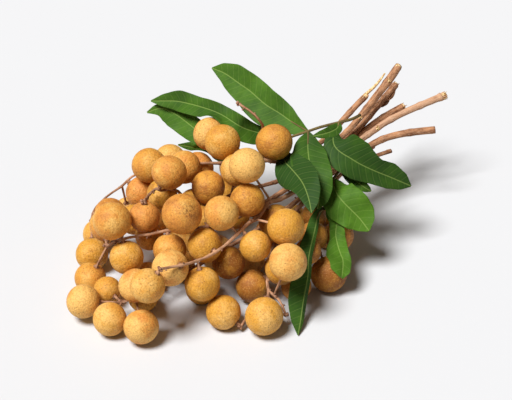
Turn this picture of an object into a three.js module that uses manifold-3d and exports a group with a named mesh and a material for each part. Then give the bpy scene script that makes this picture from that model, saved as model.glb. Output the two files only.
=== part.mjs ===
// A bunch of longan fruit lying on its side: cut woody stems gathered at the right, leaves on three
// leaf stalks over the gathering, and a heap of round fruit, each on its own short stalk.
// Millimetres, +Z up. +X runs from the fruit to the cut stems, +Y away from the front of the heap.
// The places are drawn in the plane of a picture taken from the front and above, and turned into
// space by the wished height of each point. Then the fruit are pushed apart along their own sight
// lines until none touches another, and stems and leaves are slid clear of the fruit.
import * as THREE from 'three';
import * as BufferGeometryUtils from 'three/addons/utils/BufferGeometryUtils.js';
import Module from 'manifold-3d';

const wasm = await Module();
wasm.setup();

// The picture plane: its tilt, size, distance from the eye, and the point at its middle
const ELEVATION = 33 * Math.PI / 180;
const MM_PER_UNIT = 0.69;
const DISTANCE = 1000;
const TARGET = [0, 0, 50];
const MIDDLE = [256, 200];
const SHIFT = [-8.42, -9.72];      // puts the middle of the box on the origin

// Driving sizes
const FRUIT_GAP = 0.45;
const REST = 0.955;              // height of a resting fruit's centre over its radius
const STEP = 5;                  // between the points of a route
const STALK = 0.8;               // radius of a fruit stalk
const SUNK = 2.2;                // depth of a stalk's end in its fruit
const FLOOR_CLEAR = 0.4;
const BLADE = 0.7;               // leaf thickness
const FOOT = [0.85, 0.8, 0.6];   // radii of the short stalk under a leaf

// Pushing the seen fruit apart
const SETTLE = { rounds: 600, share: 0.25, close: 1e-3 };

// Sliding routes clear: rounds, gap left, pull back to the wished way, reach kept free at a root
const ROUTE = { rounds: 160, gap: 0.6, hold: 0.02, root: 9 };
const STALK_ROUTE = { rounds: 60, gap: 0.5, hold: 0.02, root: 6.5, step: 5 };
const LEAF_ROUTE = { rounds: 120, gap: 0.7, hold: 0.05 };
const SMOOTH = { early: 0.3, late: 0.05, lateRounds: 30, push: 0.7, pushes: 2 };
const DRAPE = { branch: 1.2, twig: 1, gap: 0.5 };   // radius and gap where a way lies over the fruit
const TAPER = { reach: 1.15, power: 1.25 };         // how a branch thins from its cut end

// Fruit that the heap hides, drawn near the stems
const HIDDEN = {
  count: 26, tries: 9000, seed: 20861, from: -125, to: 62, radius: 10.6, spread: 2,
  off: 2.5, away: 16, low: 1.5, gap: [0.5, 9], wireGap: 0.9, rings: [0.85, 0.45], turns: 12,
  cover: 20, edge: 0.98,
};
const DRAW = { factor: 16807, modulus: 2147483647 };

// Choosing each fruit's stalk: where one may start, its longest reach, and what crossing costs
const HANG = {
  x: 66, y: 75, reach: 60, never: 999, choices: 14, fruitPrice: 1.2, wirePrice: 0.8,
  fruitGap: 0.5, wireGap: 0.4, root: 7, own: 0.3, good: 0.3, branchPrice: 2, open: 0.6,
};

// Pushing a leaf clear: rounds, softness, and the gaps left over fruit, stems, leaves and floor
const LEAF_CLEAR = {
  near: 75, rounds: 70, softRounds: 60, soft: 0.5, fruit: 1.1, stem: 1.5, leaf: 1.6, floor: 0.15,
  foot: 16,
};
const SIDES = { stem: 6, twig: 5, stalk: 4, leafStalk: 6, foot: 5 };
const BERRY = { low: 0.05, drop: 0.03 };     // shares of the radius, for the facet that it rests on
const SIMPLIFY = 0.02;
const BEND = 0.5;                // how far a route point may stand off the solid's chord, in mm
const ROOT = 0.01;               // how near a stalk's start lies to the route point it grows from
const CRUMB = 0.01;              // largest volume left out of a fused node, in cubic mm

const SKIN = { color: 0xb98b4a, roughness: 0.72, metalness: 0 };
const LEAF = { color: 0x2f6a2c, roughness: 0.5, metalness: 0 };

// across, down, radius, wished height of the centre
const SEEN = [
  [149.2, 165.3, 17.5, 58], [169.5, 172.5, 17.8, 78], [170, 160, 16.2, 50], [184, 167, 17, 62],
  [197.5, 168, 16.3, 47], [210, 134, 17, 74], [222.5, 142, 18, 84], [274.3, 142.3, 18.8, 82],
  [247, 165.5, 18.2, 88], [237, 170, 16.6, 72], [247.3, 200.5, 17.7, 66], [208.5, 187, 17.1, 62],
  [221.5, 213.5, 18, 66], [182, 214, 20.8, 68], [144.3, 217, 15.8, 56], [112, 220.8, 19.5, 58],
  [110, 213.5, 16, 38], [141.5, 192, 16.2, 38], [162, 194, 15.5, 54], [134, 219.5, 15.5, 42],
  [149.5, 236, 14.5, 37], [126.5, 257.3, 17.4, 39], [92, 254, 16.6, 13], [98, 234, 15.5, 13],
  [90.4, 278, 16, 12], [83.3, 301.5, 17.2, 12], [107.3, 290.3, 14.2, 12], [109.8, 319, 17.4, 12],
  [141.2, 327, 17.8, 12.5], [147.7, 285.7, 18, 42], [135.5, 285.5, 17.2, 30], [143, 297, 15.5, 11],
  [170.3, 268, 18.7, 40], [169.7, 249.7, 16.8, 38], [205, 245.3, 17.7, 46], [202.5, 284, 18, 30],
  [228.5, 262.5, 17, 28], [255.3, 246, 16.2, 44], [286, 227, 19, 58], [288, 262.5, 19.5, 46],
  [281, 269, 16.4, 29], [275.5, 221, 17.3, 44], [252.5, 286, 17, 12], [223.5, 312.5, 17.8, 12.3],
  [264, 316.3, 19.5, 13.4], [328.5, 274, 18.5, 12.6], [296, 286, 15.6, 11], [338.5, 235, 15.7, 25],
  [313, 236, 15, 33], [308, 251, 13.5, 33], [314, 216, 13, 38],
];

// name, radius at the cut end, radius at the tip, way: across, down, height, 1 where it lies over the fruit
const BRANCHES = [
  ['branch_1', 2.3, 0.9, [[367, 95, 80], [358, 103, 77], [350, 112, 73], [341, 122, 68], [325, 142, 60],
    [300, 155, 54], [270, 161, 52], [240, 163, 54], [215, 163, 56], [200, 163, 57], [180, 172, 48],
    [160, 181, 46]]],
  ['branch_2', 3.1, 0.9, [[398.5, 66, 92], [391, 78, 88], [375, 98, 80], [358, 120, 70], [343, 137, 64],
    [318, 153, 61], [295, 161, 60], [272, 165, 61], [252, 154, 64], [236, 150, 66], [222, 150, 67]]],
  ['branch_3', 2.7, 0.9, [[396, 84, 74], [385, 98, 70], [372, 112, 66], [358, 130, 60], [322, 160, 54],
    [290, 178, 50], [262, 186, 48], [235, 192, 48], [210, 207, 48], [190, 196, 46], [172, 206, 44]]],
  ['branch_4', 2.6, 0.9, [[404, 106, 66], [388, 114, 63], [372, 124, 60], [354, 138, 56], [324, 165, 48],
    [288, 188, 42], [250, 212, 40], [215, 226, 42], [190, 230, 46], [174, 229.5, 51], [155, 233, 49, 1],
    [140, 235.5, 47.5, 1], [125, 238.5, 47, 1], [116, 241, 43.5, 1], [107, 246.5, 36, 1]]],
  ['branch_5', 2.7, 0.9, [[446, 95, 72], [420, 105.5, 68], [400, 114, 64], [380, 125, 60], [366, 135, 57],
    [328, 168, 54], [295, 192, 52], [268, 208, 54], [247, 223, 55.5], [238, 233, 54, 1],
    [228, 245, 49, 1], [215, 254, 47, 1], [205, 259.5, 46, 1], [195, 263, 45, 1], [182, 266, 45, 1],
    [170, 267.5, 44, 1], [160.5, 269, 44, 1]]],
  ['branch_6', 2.7, 0.9, [[435, 130, 58], [410, 132, 57], [392, 135, 55], [374, 142, 52], [332, 172, 46],
    [292, 205, 36], [255, 232, 27], [222, 250, 22], [195, 268, 17], [175, 279, 14], [155, 290, 13],
    [138, 301.5, 12], [122, 302.5, 12]]],
  ['branch_7', 2.5, 0.9, [[374, 145, 42], [362, 150, 42], [328, 174, 39], [300, 205, 34], [282, 232, 26],
    [266, 258, 20], [262, 278, 18], [270, 290, 18], [268, 297, 17]]],
  ['branch_8', 1.6, 0.9, [[391, 151, 44], [376, 155.5, 44], [350, 165, 44], [330, 185, 42],
    [318, 203, 38], [313, 222, 32], [318, 238, 24], [320, 252, 20]]],
];

// twigs that grow from a branch: branch number, radius at the root, at the tip, way
const TWIGS = [
  [0, 0.9, 0.7, [[160, 181, 46], [146, 181, 44], [135, 181, 40], [122, 188, 38], [110, 193, 37],
    [101, 200, 37], [93, 207.5, 37], [91.3, 213, 35], [91.5, 219, 33]]],
  [1, 1.1, 0.8, [[285, 163, 60], [276, 152, 65], [266, 143, 72], [262, 134, 80], [266, 125, 91],
    [261, 118.5, 98], [255, 112, 102], [247, 107.5, 104], [239, 104, 105]]],
  [2, 1.1, 0.8, [[190, 196, 46], [172, 190, 58], [158.5, 184.5, 60, 1], [150, 193, 57, 1],
    [144, 201, 55, 1]]],
  [6, 1.0, 0.8, [[270, 292, 18], [281, 296, 16], [284, 304, 14], [285.5, 314, 9]]],
  [6, 1.0, 0.8, [[266, 298, 15], [253, 306, 9], [245, 319, 6], [241, 326, 5]]],
];

// shares of a leaf's length where its half widths are given
const STATIONS = [0, 0.08, 0.2, 0.35, 0.5, 0.65, 0.8, 0.92, 1];

// three leaf stalks; each leaf: midrib way, half widths on the left and on the right of its way,
// fold of the left and right half in degrees (plus is towards the upper face), waves, wave height
const LEAF_STALKS = [
  {
    name: 'compound_leaf_1',
    stalk: [[360, 115, 84], [352, 119.5, 85], [339, 122.5, 85.5], [320, 127, 85.5], [309, 131, 84.5],
      [300, 134, 83], [293, 136, 80.5], [284, 140, 76]],
    radius: [1.15, 0.9],
    leaves: [
      {
        way: [[309, 131, 84.5], [303, 128.5, 85], [292, 122, 87], [280, 113.5, 90], [265, 104, 94],
          [250, 91, 98], [240, 84, 101], [225, 73.5, 104], [212, 68, 105]],
        left: [1, 10, 18, 22, 20.5, 17, 12.5, 6.5, 0.8],
        right: [1, 6, 12, 16, 17, 17, 16, 9, 0.8],
        fold: [8, 14], waves: 3, height: 0.9,
      },
      {
        way: [[284, 140, 76], [262, 134, 74], [245, 130, 78], [235, 126, 81.5], [222, 119, 83],
          [210, 113, 84], [195, 106.5, 84], [180, 102, 83], [170, 101, 82], [151, 101, 79]],
        left: [1, 6, 14, 18, 17, 14, 11, 6, 0.8],
        right: [1, 4, 8, 13, 13, 11, 12, 7, 0.8],
        fold: [10, 14], waves: 4, height: 1.5,
      },
      {
        way: [[339, 122.5, 85.5], [337, 128, 84.5], [331, 131.5, 84], [323, 134, 83.5],
          [313, 136, 82.5]],
        left: [0.8, 3, 5.5, 6.5, 6.5, 5.5, 4, 2.2, 0.8],
        right: [0.8, 3, 5, 6, 6, 5, 4, 2.2, 0.8],
        fold: [8, 8], waves: 2, height: 0.5,
      },
      {
        way: [[339, 122.5, 85.5], [333, 136, 81.5], [334, 145.5, 78.5], [340, 152, 76], [350, 158, 73],
          [360, 164, 69], [375, 171, 63], [390, 177, 57], [411, 186, 48]],
        left: [0.8, 3, 12, 23, 22, 13, 14.5, 9, 0.8],
        right: [0.8, 3, 9, 18, 18, 14, 12.5, 8, 0.8],
        fold: [6, 10], waves: 3, height: 1.2,
      },
      {
        way: [[284, 140, 76], [281, 149, 73], [284, 160, 71], [290, 167, 70.5], [300, 179, 69],
          [305, 188, 68], [309, 200, 64], [311.5, 213, 59]],
        left: [1, 4, 9, 15, 19, 18, 14, 8, 0.8],
        right: [1, 2.5, 7, 16, 19.5, 17.5, 10, 5, 0.8],
        fold: [8, 8], waves: 3, height: 0.9,
      },
      {
        way: [[309, 131, 84.5], [308, 138, 81], [307.5, 148, 77], [309, 160, 73], [313, 172, 69],
          [317, 186, 63], [319, 198, 57], [317.5, 209, 51]],
        left: [1, 8, 16, 19, 19, 18, 14.5, 8, 0.8],
        right: [1, 8, 15, 18, 16, 14, 11, 6, 0.8],
        fold: [4, 6], waves: 3, height: 0.9,
      },
    ],
  },
  {
    name: 'compound_leaf_2',
    stalk: [[352, 160, 59], [342, 168, 58], [333, 178, 56], [327, 190, 52], [325, 200, 48.5], [326, 208, 46]],
    radius: [1.15, 0.9],
    leaves: [
      {
        way: [[326, 208, 46], [319, 213, 47], [314, 232, 46], [308, 256, 39], [307, 275, 28],
          [303, 300, 16], [300.5, 320, 7], [298, 335, 1.2]],
        left: [1, 3, 4, 4, 5, 5, 5, 4, 0.8],
        right: [1, 4.5, 7.5, 9, 13, 18, 15, 9, 0.8],
        fold: [-40, 8], waves: 3, height: 0.8,
      },
      {
        way: [[326, 208, 46], [333, 216, 42], [336, 223, 38], [335, 235, 32], [337, 245, 28],
          [340, 255, 25], [342, 262, 23], [341, 272, 19], [340, 279, 16]],
        left: [1, 4, 6, 10, 10, 9, 9, 8, 2],
        right: [1, 6, 7, 8, 12, 15, 15, 12, 2],
        fold: [10, 10], waves: 3, height: 1.2,
      },
      {
        way: [[333, 178, 56], [335, 190, 54], [341, 200, 51], [350, 209, 46.5], [360, 219, 41],
          [369, 231, 35]],
        left: [1, 8, 16, 19, 21, 21, 18, 11, 1.5],
        right: [1, 8, 16, 21, 22, 19, 16, 9, 1.5],
        fold: [6, 6], waves: 3, height: 1.4,
      },
      {
        way: [[342, 168, 58], [348, 173, 58], [356, 181, 56], [364, 187, 53], [371, 191, 49]],
        left: [0.8, 3, 6, 7, 7, 6.5, 5, 3, 0.8],
        right: [0.8, 3, 6, 7, 7, 6.5, 5, 3, 0.8],
        fold: [8, 8], waves: 2, height: 0.6,
      },
    ],
  },
  {
    name: 'compound_leaf_3',
    stalk: [[249, 149, 57], [241, 151, 58], [232, 150.5, 60.5], [225, 148, 63]],
    radius: [1.0, 0.8],
    leaves: [
      {
        way: [[225, 148, 63], [210, 140, 66.5], [193, 127, 70], [175, 114, 72.5], [160, 108.5, 73],
          [147, 112.5, 70.5]],
        left: [1, 5, 10, 14, 15, 15, 12, 6, 0.8],
        right: [1, 5, 9, 11, 11, 10, 8, 4, 0.8],
        fold: [8, 6], waves: 3, height: 1.4,
      },
      {
        way: [[241, 151, 58], [228, 155, 57], [215, 153, 57.5], [203, 149.5, 59], [190, 147, 61],
          [178, 145, 63]],
        left: [1, 5, 8, 9, 9, 8, 6, 3, 0.8],
        right: [1, 5, 8, 9, 9, 8, 6, 3, 0.8],
        fold: [6, 6], waves: 2, height: 0.6,
      },
    ],
  },
];

// Vectors
const add = (a, b) => [a[0] + b[0], a[1] + b[1], a[2] + b[2]];
const sub = (a, b) => [a[0] - b[0], a[1] - b[1], a[2] - b[2]];
const mul = (a, k) => [a[0] * k, a[1] * k, a[2] * k];
const dot = (a, b) => a[0] * b[0] + a[1] * b[1] + a[2] * b[2];
const len = (a) => Math.hypot(a[0], a[1], a[2]);
const unit = (a) => mul(a, 1 / len(a));
const cross = (a, b) => [a[1] * b[2] - a[2] * b[1], a[2] * b[0] - a[0] * b[2], a[0] * b[1] - a[1] * b[0]];
const mix = (a, b, t) => add(mul(a, 1 - t), mul(b, t));

const UP = [0, Math.sin(ELEVATION), Math.cos(ELEVATION)];
const NEAR = [0, -Math.cos(ELEVATION), Math.sin(ELEVATION)];
const EYE = add(TARGET, mul(NEAR, DISTANCE));

// a point of the picture plane's grid, c mm nearer to the eye than the target
function place(u, v, c) {
  const k = MM_PER_UNIT * (DISTANCE - c) / DISTANCE;
  return add(add(add(TARGET, [(u - MIDDLE[0]) * k, 0, 0]), mul(UP, (MIDDLE[1] - v) * k)), mul(NEAR, c));
}

function depthAt(v, z) {
  const b = (MIDDLE[1] - v) * MM_PER_UNIT * Math.cos(ELEVATION);
  return (z - TARGET[2] - b) / (Math.sin(ELEVATION) - b / DISTANCE);
}

function toGrid(p) {
  const d = sub(p, TARGET);
  const c = dot(d, NEAR);
  const k = DISTANCE / (DISTANCE - c) / MM_PER_UNIT;
  return [MIDDLE[0] + d[0] * k, MIDDLE[1] - dot(d, UP) * k, c];
}

// Seen fruit
function settle() {
  const n = SEEN.length;
  const depth = SEEN.map(([, v, , z]) => depthAt(v, z));
  const R = SEEN.map(([, , r], i) => r * MM_PER_UNIT * (1 - depth[i] / DISTANCE));
  let P = SEEN.map(([u, v], i) => place(u, v, depth[i]));
  const line = P.map((p) => unit(sub(EYE, p)));
  for (let round = 0; round < SETTLE.rounds; round += 1) {
    P = P.map((p, i) => add(p, mul(line[i], Math.max(R[i] * REST - p[2], 0) / line[i][2])));
    const move = new Array(n).fill(0);
    let worst = 0;
    for (let i = 0; i < n; i += 1) {
      for (let j = 0; j < n; j += 1) {
        if (i === j) continue;
        const sign = depth[i] - depth[j] >= 0 ? 1 : -1;
        const d = sub(P[i], P[j]);
        const along = dot(d, NEAR);
        const across = dot(d, d) - along * along;
        const need = R[i] + R[j] + FRUIT_GAP;
        const want = Math.sqrt(Math.max(need * need - across, 0));
        if (want <= 0) continue;
        const short = Math.max(want - along * sign, 0);
        worst = Math.max(worst, short);
        move[i] += sign * short;
      }
    }
    if (worst < SETTLE.close) break;
    P = P.map((p, i) => add(p, mul(line[i], SETTLE.share * move[i])));
  }
  return { P, R };
}

// Routes
function spline(points, step) {
  const n = points.length;
  const Q = [sub(mul(points[0], 2), points[1]), ...points, sub(mul(points[n - 1], 2), points[n - 2])];
  const out = [];
  for (let i = 0; i < n - 1; i += 1) {
    const [a, b, c, d] = Q.slice(i, i + 4);
    const m = Math.max(1, Math.round(len(sub(c, b)) / step));
    for (let k = 0; k < m; k += 1) {
      const t = k / m;
      out.push([0, 1, 2].map((x) => {
        const square = 2 * a[x] - 5 * b[x] + 4 * c[x] - d[x];
        const cube = 3 * b[x] - a[x] - 3 * c[x] + d[x];
        return 0.5 * (2 * b[x] + (c[x] - a[x]) * t + square * t * t + cube * t * t * t);
      }));
    }
  }
  out.push(points[n - 1]);
  return out;
}

// a way point at its height, or laid on the fruit under it
function drape([u, v, z, over], fruit, r) {
  const c = depthAt(v, z);
  const p = place(u, v, c);
  if (!over) return p;
  let extra = 0;
  fruit.P.forEach((q, i) => {
    const d = sub(q, p);
    const along = dot(d, NEAR);
    const reach = (fruit.R[i] + r + DRAPE.gap) ** 2 - (dot(d, d) - along * along);
    if (reach > 0) extra = Math.max(extra, along + Math.sqrt(reach));
  });
  return extra > 0 ? place(u, v, c + extra) : p;
}

// slides a route off the fruit and off the wires laid before it; its first point stays
function clearRoute(P0, rad, fruit, wires, { rounds, gap, hold }, lastHold = hold) {
  let P = P0.map((p) => [...p]);
  const n = P.length;
  for (let k = 0; k < rounds; k += 1) {
    const smooth = k < rounds - SMOOTH.lateRounds ? SMOOTH.early : SMOOTH.late;
    P = P.map((p, i) => {
      if (i === 0) return p;
      let q = add(p, mul(sub(P0[i], p), i === n - 1 ? lastHold : hold));
      if (i < n - 1) q = add(q, mul(sub(mul(add(P[i - 1], P[i + 1]), 0.5), p), smooth));
      return q;
    });
    for (let again = 0; again < SMOOTH.pushes; again += 1) {
      P = P.map((p, i) => {
        if (i === 0) return p;
        let push = [0, 0, 0];
        fruit.P.forEach((q, j) => {
          const d = sub(p, q);
          const l = len(d);
          const short = fruit.R[j] + rad[i] + gap - l;
          if (short > 0) push = add(push, mul(d, short / l));
        });
        let wirePush = [0, 0, 0];
        let hits = 0;
        for (const w of wires) {
          const d = sub(p, w.p);
          const l = len(d) + 1e-9;
          const short = w.r + rad[i] + gap - l;
          if (short > 0) {
            wirePush = add(wirePush, mul(d, short / l));
            hits += 1;
          }
        }
        if (hits) push = add(push, mul(wirePush, 1 / Math.sqrt(hits)));
        return add(p, mul(push, SMOOTH.push));
      });
    }
    P = P.map((p, i) => [p[0], p[1], Math.max(p[2], rad[i] + FLOOR_CLEAR)]);
  }
  return P;
}

function segmentDistance(a, b, x) {
  const d = sub(b, a);
  const t = Math.min(Math.max(dot(sub(x, a), d) / Math.max(dot(d, d), 1e-9), 0), 1);
  return len(sub(x, add(a, mul(d, t))));
}

function layBranches(fruit) {
  const wires = [];
  const branches = BRANCHES.map(([name, r0, r1, way], b) => {
    const raw = spline(way.map((w) => drape(w, fruit, DRAPE.branch)), STEP);
    const share = raw.map((p, i) => Math.min(TAPER.reach * i / (raw.length - 1), 1));
    const rad = share.map((t) => r0 + (r1 - r0) * t ** TAPER.power);
    const P = clearRoute(raw, rad, fruit, wires, ROUTE);
    P.forEach((p, i) => wires.push({ p, r: rad[i], b }));
    return { name, routes: [{ P, rad }] };
  });
  for (const [b, r0, r1, way] of TWIGS) {
    const points = way.map((w) => drape(w, fruit, DRAPE.twig));
    const tree = branches[b].routes.flatMap((route) => route.P);
    let root = tree[0];
    for (const q of tree) if (len(sub(q, points[0])) < len(sub(root, points[0]))) root = q;
    points[0] = root;
    const raw = spline(points, STEP);
    const rad = raw.map((p, i) => r0 + (r1 - r0) * i / (raw.length - 1));
    const others = wires.filter((w) => len(sub(w.p, root)) >= ROUTE.root);
    const P = clearRoute(raw, rad, fruit, others, ROUTE);
    P.forEach((p, i) => { if (i) wires.push({ p, r: rad[i], b }); });
    branches[b].routes.push({ P, rad });
  }
  return { branches, wires };
}

// Fruit inside and at the back
function hiddenFruit(fruit, wires) {
  let state = HIDDEN.seed;
  const draw = () => {
    state = (state * DRAW.factor) % DRAW.modulus;
    return state / DRAW.modulus;
  };
  const P = [...fruit.P];
  const R = [...fruit.R];
  const seen = fruit.P.map((p, i) => {
    const [u, v, c] = toGrid(p);
    return { u, v, c, r: R[i] / MM_PER_UNIT * DISTANCE / (DISTANCE - c) };
  });
  const zone = wires.filter((w) => w.p[0] > HIDDEN.from && w.p[0] < HIDDEN.to);
  const spots = [[0, 0]];
  for (const k of HIDDEN.rings) {
    for (let n = 0; n < HIDDEN.turns; n += 1) {
      const a = 2 * Math.PI * n / HIDDEN.turns;
      spots.push([k * Math.cos(a), k * Math.sin(a)]);
    }
  }
  for (let n = 0; n < HIDDEN.tries && P.length < fruit.P.length + HIDDEN.count; n += 1) {
    const w = zone[Math.floor(draw() * zone.length)];
    const r = HIDDEN.radius + HIDDEN.spread * draw();
    const a = draw() * 2 * Math.PI;
    const b = 2 * draw() - 1;
    const d = [Math.cos(a) * Math.sqrt(1 - b * b), Math.sin(a) * Math.sqrt(1 - b * b), b];
    const p = add(w.p, mul(d, r + HIDDEN.off + HIDDEN.away * draw()));
    if (p[2] < HIDDEN.low * r) p[2] = REST * r;
    let gap = Infinity;
    P.forEach((q, i) => { gap = Math.min(gap, len(sub(q, p)) - R[i] - r); });
    if (gap < HIDDEN.gap[0] || gap > HIDDEN.gap[1]) continue;
    if (wires.some((x) => len(sub(x.p, p)) - x.r - r < HIDDEN.wireGap)) continue;
    const [u, v, c] = toGrid(p);
    const g = r / MM_PER_UNIT;
    const cover = spots.filter(([x, y]) => seen.some((f) => f.c > c
      && (f.u - u - x * g) ** 2 + (f.v - v - y * g) ** 2 < (HIDDEN.edge * f.r) ** 2)).length;
    if (cover < HIDDEN.cover) continue;
    P.push(p);
    R.push(r);
  }
  return { P, R };
}

// Stalks
// each fruit hangs from the nearest twig it can reach, the nearest fruit first
function growStalks(fruit, branches) {
  const T = [];
  for (const [b, branch] of branches.entries()) {
    for (const { P, rad } of branch.routes) {
      P.forEach((p, i) => T.push({ p, r: rad[i], b, open: p[0] < HANG.x && p[1] < HANG.y }));
    }
  }
  const n = fruit.P.length;
  const price = (i, k) => {
    const q = T[k].p;
    const d = sub(fruit.P[i], q);
    const l = len(d) - fruit.R[i];
    if (l > HANG.reach) return HANG.never;
    const e = sub(fruit.P[i], mul(unit(d), fruit.R[i]));
    let inside = 0;
    fruit.P.forEach((c, j) => {
      const short = fruit.R[j] + STALK + HANG.fruitGap - segmentDistance(q, e, c);
      if (j !== i) inside += Math.max(short, 0);
    });
    let crossed = 0;
    for (const t of T) {
      if (len(sub(t.p, q)) < HANG.root) continue;
      crossed = Math.max(crossed, t.r + STALK + HANG.wireGap - segmentDistance(q, e, t.p));
    }
    return l + HANG.fruitPrice * inside + HANG.wirePrice * crossed;
  };
  const rank = (list) => list.sort((x, y) => x.cost - y.cost || x.k - y.k).slice(0, HANG.choices);
  const roots = (i) => T.flatMap((t, k) => (t.open ? [{ cost: price(i, k), k }] : []));
  const best = fruit.P.map((p, i) => rank(roots(i)));
  const left = new Set(fruit.P.keys());
  const made = [];
  while (left.size) {
    let i = -1;
    for (const k of left) if (i < 0 || best[k][0].cost < best[i][0].cost) i = k;
    const others = { P: fruit.P.filter((p, j) => j !== i), R: fruit.R.filter((r, j) => j !== i) };
    let done = null;
    for (const { k } of best[i]) {
      const q = T[k].p;
      const d = sub(fruit.P[i], q);
      const e = sub(fruit.P[i], mul(unit(d), fruit.R[i] - SUNK));
      const m = Math.max(2, Math.round(len(sub(e, q)) / STALK_ROUTE.step) + 1);
      let P = Array.from({ length: m }, (x, a) => mix(q, e, a / (m - 1)));
      const rad = P.map(() => STALK);
      const far = T.filter((t) => len(sub(t.p, q)) >= STALK_ROUTE.root);
      if (m > 2) {
        P = clearRoute(P, rad, others, far, STALK_ROUTE, 1);
        P[m - 1] = e;
        for (let a = 1; a < m - 2; a += 1) {
          const f = sub(P[a], fruit.P[i]);
          const l = len(f);
          P[a] = add(P[a], mul(f, Math.max(fruit.R[i] + STALK + HANG.own - l, 0) / l));
        }
      }
      let gap = Infinity;
      for (let a = 0; a < m - 1; a += 1) {
        others.P.forEach((c, j) => {
          gap = Math.min(gap, segmentDistance(P[a], P[a + 1], c) - others.R[j] - STALK);
        });
        for (const t of far) gap = Math.min(gap, segmentDistance(P[a], P[a + 1], t.p) - t.r - STALK);
      }
      if (!done || gap > done.gap) done = { gap, P, rad, b: T[k].b };
      if (done.gap > HANG.good) break;
    }
    made.push({ fruit: i, ...done });
    left.delete(i);
    const start = T.length;
    const m = done.P.length;
    for (let a = 1; a < m; a += 1) T.push({ p: done.P[a], r: STALK, b: done.b, open: false });
    if (m > 3) {
      const stop = Math.max(2, Math.floor(m * HANG.open));
      for (const k of left) {
        const more = [];
        for (let a = start; a < start + stop - 1; a += 1) {
          more.push({ cost: price(k, a) + HANG.branchPrice, k: a });
        }
        best[k] = rank([...best[k], ...more]);
      }
    }
  }
  return { made, wires: T };
}

// Leaves
const ALONG = 24;
const ACROSS = 8;

function lookUp(table, t) {
  let i = 0;
  while (i < STATIONS.length - 2 && t > STATIONS[i + 1]) i += 1;
  const f = (t - STATIONS[i]) / (STATIONS[i + 1] - STATIONS[i]);
  return table[i] + (table[i + 1] - table[i]) * f;
}

// points at even shares of a line's length
function resample(P, count) {
  const s = [0];
  for (let i = 1; i < P.length; i += 1) s.push(s[i - 1] + len(sub(P[i], P[i - 1])));
  const out = [];
  let i = 0;
  for (let k = 0; k <= count; k += 1) {
    const t = s[s.length - 1] * k / count;
    while (i < P.length - 2 && t > s[i + 1]) i += 1;
    out.push(mix(P[i], P[i + 1], (t - s[i]) / (s[i + 1] - s[i])));
  }
  return out;
}

function leafGrid(leaf, first) {
  const points = leaf.way.map(([u, v, z]) => place(u, v, depthAt(v, z)));
  points[0] = first;
  const M = resample(spline(points, 2), ALONG);
  const grid = [];
  for (let i = 0; i <= ALONG; i += 1) {
    const t = i / ALONG;
    const T = unit(sub(M[Math.min(i + 1, ALONG)], M[Math.max(i - 1, 0)]));
    const side = unit(cross(T, NEAR));
    const N = cross(side, T);
    const row = [];
    for (let j = 0; j <= ACROSS; j += 1) {
      const w = 2 * j / ACROSS - 1;
      const right = w > 0;
      const half = lookUp(right ? leaf.right : leaf.left, t) * MM_PER_UNIT;
      const fold = leaf.fold[right ? 1 : 0] * Math.PI / 180;
      const wave = leaf.height * w * w * Math.sin(2 * Math.PI * leaf.waves * t + (right ? 0 : 2.1))
        * Math.min(1, 4 * t, 4 * (1 - t));
      const lift = Math.abs(w) * half * Math.sin(fold) + wave;
      row.push(add(add(M[i], mul(side, w * half * Math.cos(fold))), mul(N, lift)));
    }
    grid.push(row);
  }
  return grid;
}

// pushes a leaf off the fruit, the stems and the leaves laid before it, and keeps it smooth
function clearLeaf(home, allFruit, allWires, allOthers) {
  const middle = home[ALONG / 2][ACROSS / 2];
  const close = (p, r) => len(sub(p, middle)) < LEAF_CLEAR.near + r;
  const near = allFruit.P.map((p, i) => ({ p, r: allFruit.R[i] })).filter((f) => close(f.p, f.r));
  const wires = allWires.filter((w) => close(w.p, w.r));
  const others = allOthers.filter((o) => close(o, 0));
  let G = home.map((row) => row.map((p) => [...p]));
  for (let k = 0; k < LEAF_CLEAR.rounds; k += 1) {
    const soft = k < LEAF_CLEAR.softRounds ? LEAF_CLEAR.soft : 0;
    G = G.map((row, i) => row.map((p, j) => {
      if (i < 1) return p;
      let sum = [0, 0, 0];
      let count = 0;
      for (const [a, b] of [[i - 1, j], [i + 1, j], [i, j - 1], [i, j + 1]]) {
        if (a < 0 || a > ALONG || b < 0 || b > ACROSS) continue;
        sum = add(sum, sub(G[a][b], home[a][b]));
        count += 1;
      }
      const d = sub(p, home[i][j]);
      let q = add(p, mul(sub(mul(sum, 1 / count), d), soft));
      for (const f of near) {
        const e = sub(q, f.p);
        const l = len(e);
        const short = f.r + BLADE / 2 + LEAF_CLEAR.fruit - l;
        if (short > 0) q = add(q, mul(e, short / l));
      }
      for (const w of wires) {
        const e = sub(q, w.p);
        const l = len(e) + 1e-9;
        const short = w.r + BLADE / 2 + LEAF_CLEAR.stem - l;
        if (short > 0) q = add(q, mul(e, short / l));
      }
      for (const o of others) {
        const e = sub(q, o);
        const l = len(e) + 1e-9;
        const short = BLADE + LEAF_CLEAR.leaf - l;
        if (short > 0) q = add(q, mul(e, short / l));
      }
      return [q[0], q[1], Math.max(q[2], BLADE / 2 + LEAF_CLEAR.floor)];
    }));
  }
  return G;
}

// Solids
function toManifold(geometry) {
  geometry.deleteAttribute('normal');
  geometry.deleteAttribute('uv');
  const merged = BufferGeometryUtils.mergeVertices(geometry, 1e-4);
  return new wasm.Manifold(new wasm.Mesh({
    numProp: 3,
    vertProperties: new Float32Array(merged.attributes.position.array),
    triVerts: new Uint32Array(merged.index.array),
  }));
}

function closedMesh(points, faces) {
  const geometry = new THREE.BufferGeometry();
  geometry.setAttribute('position', new THREE.BufferAttribute(new Float32Array(points.flat()), 3));
  geometry.setIndex(faces.flat());
  return toManifold(geometry);
}

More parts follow.
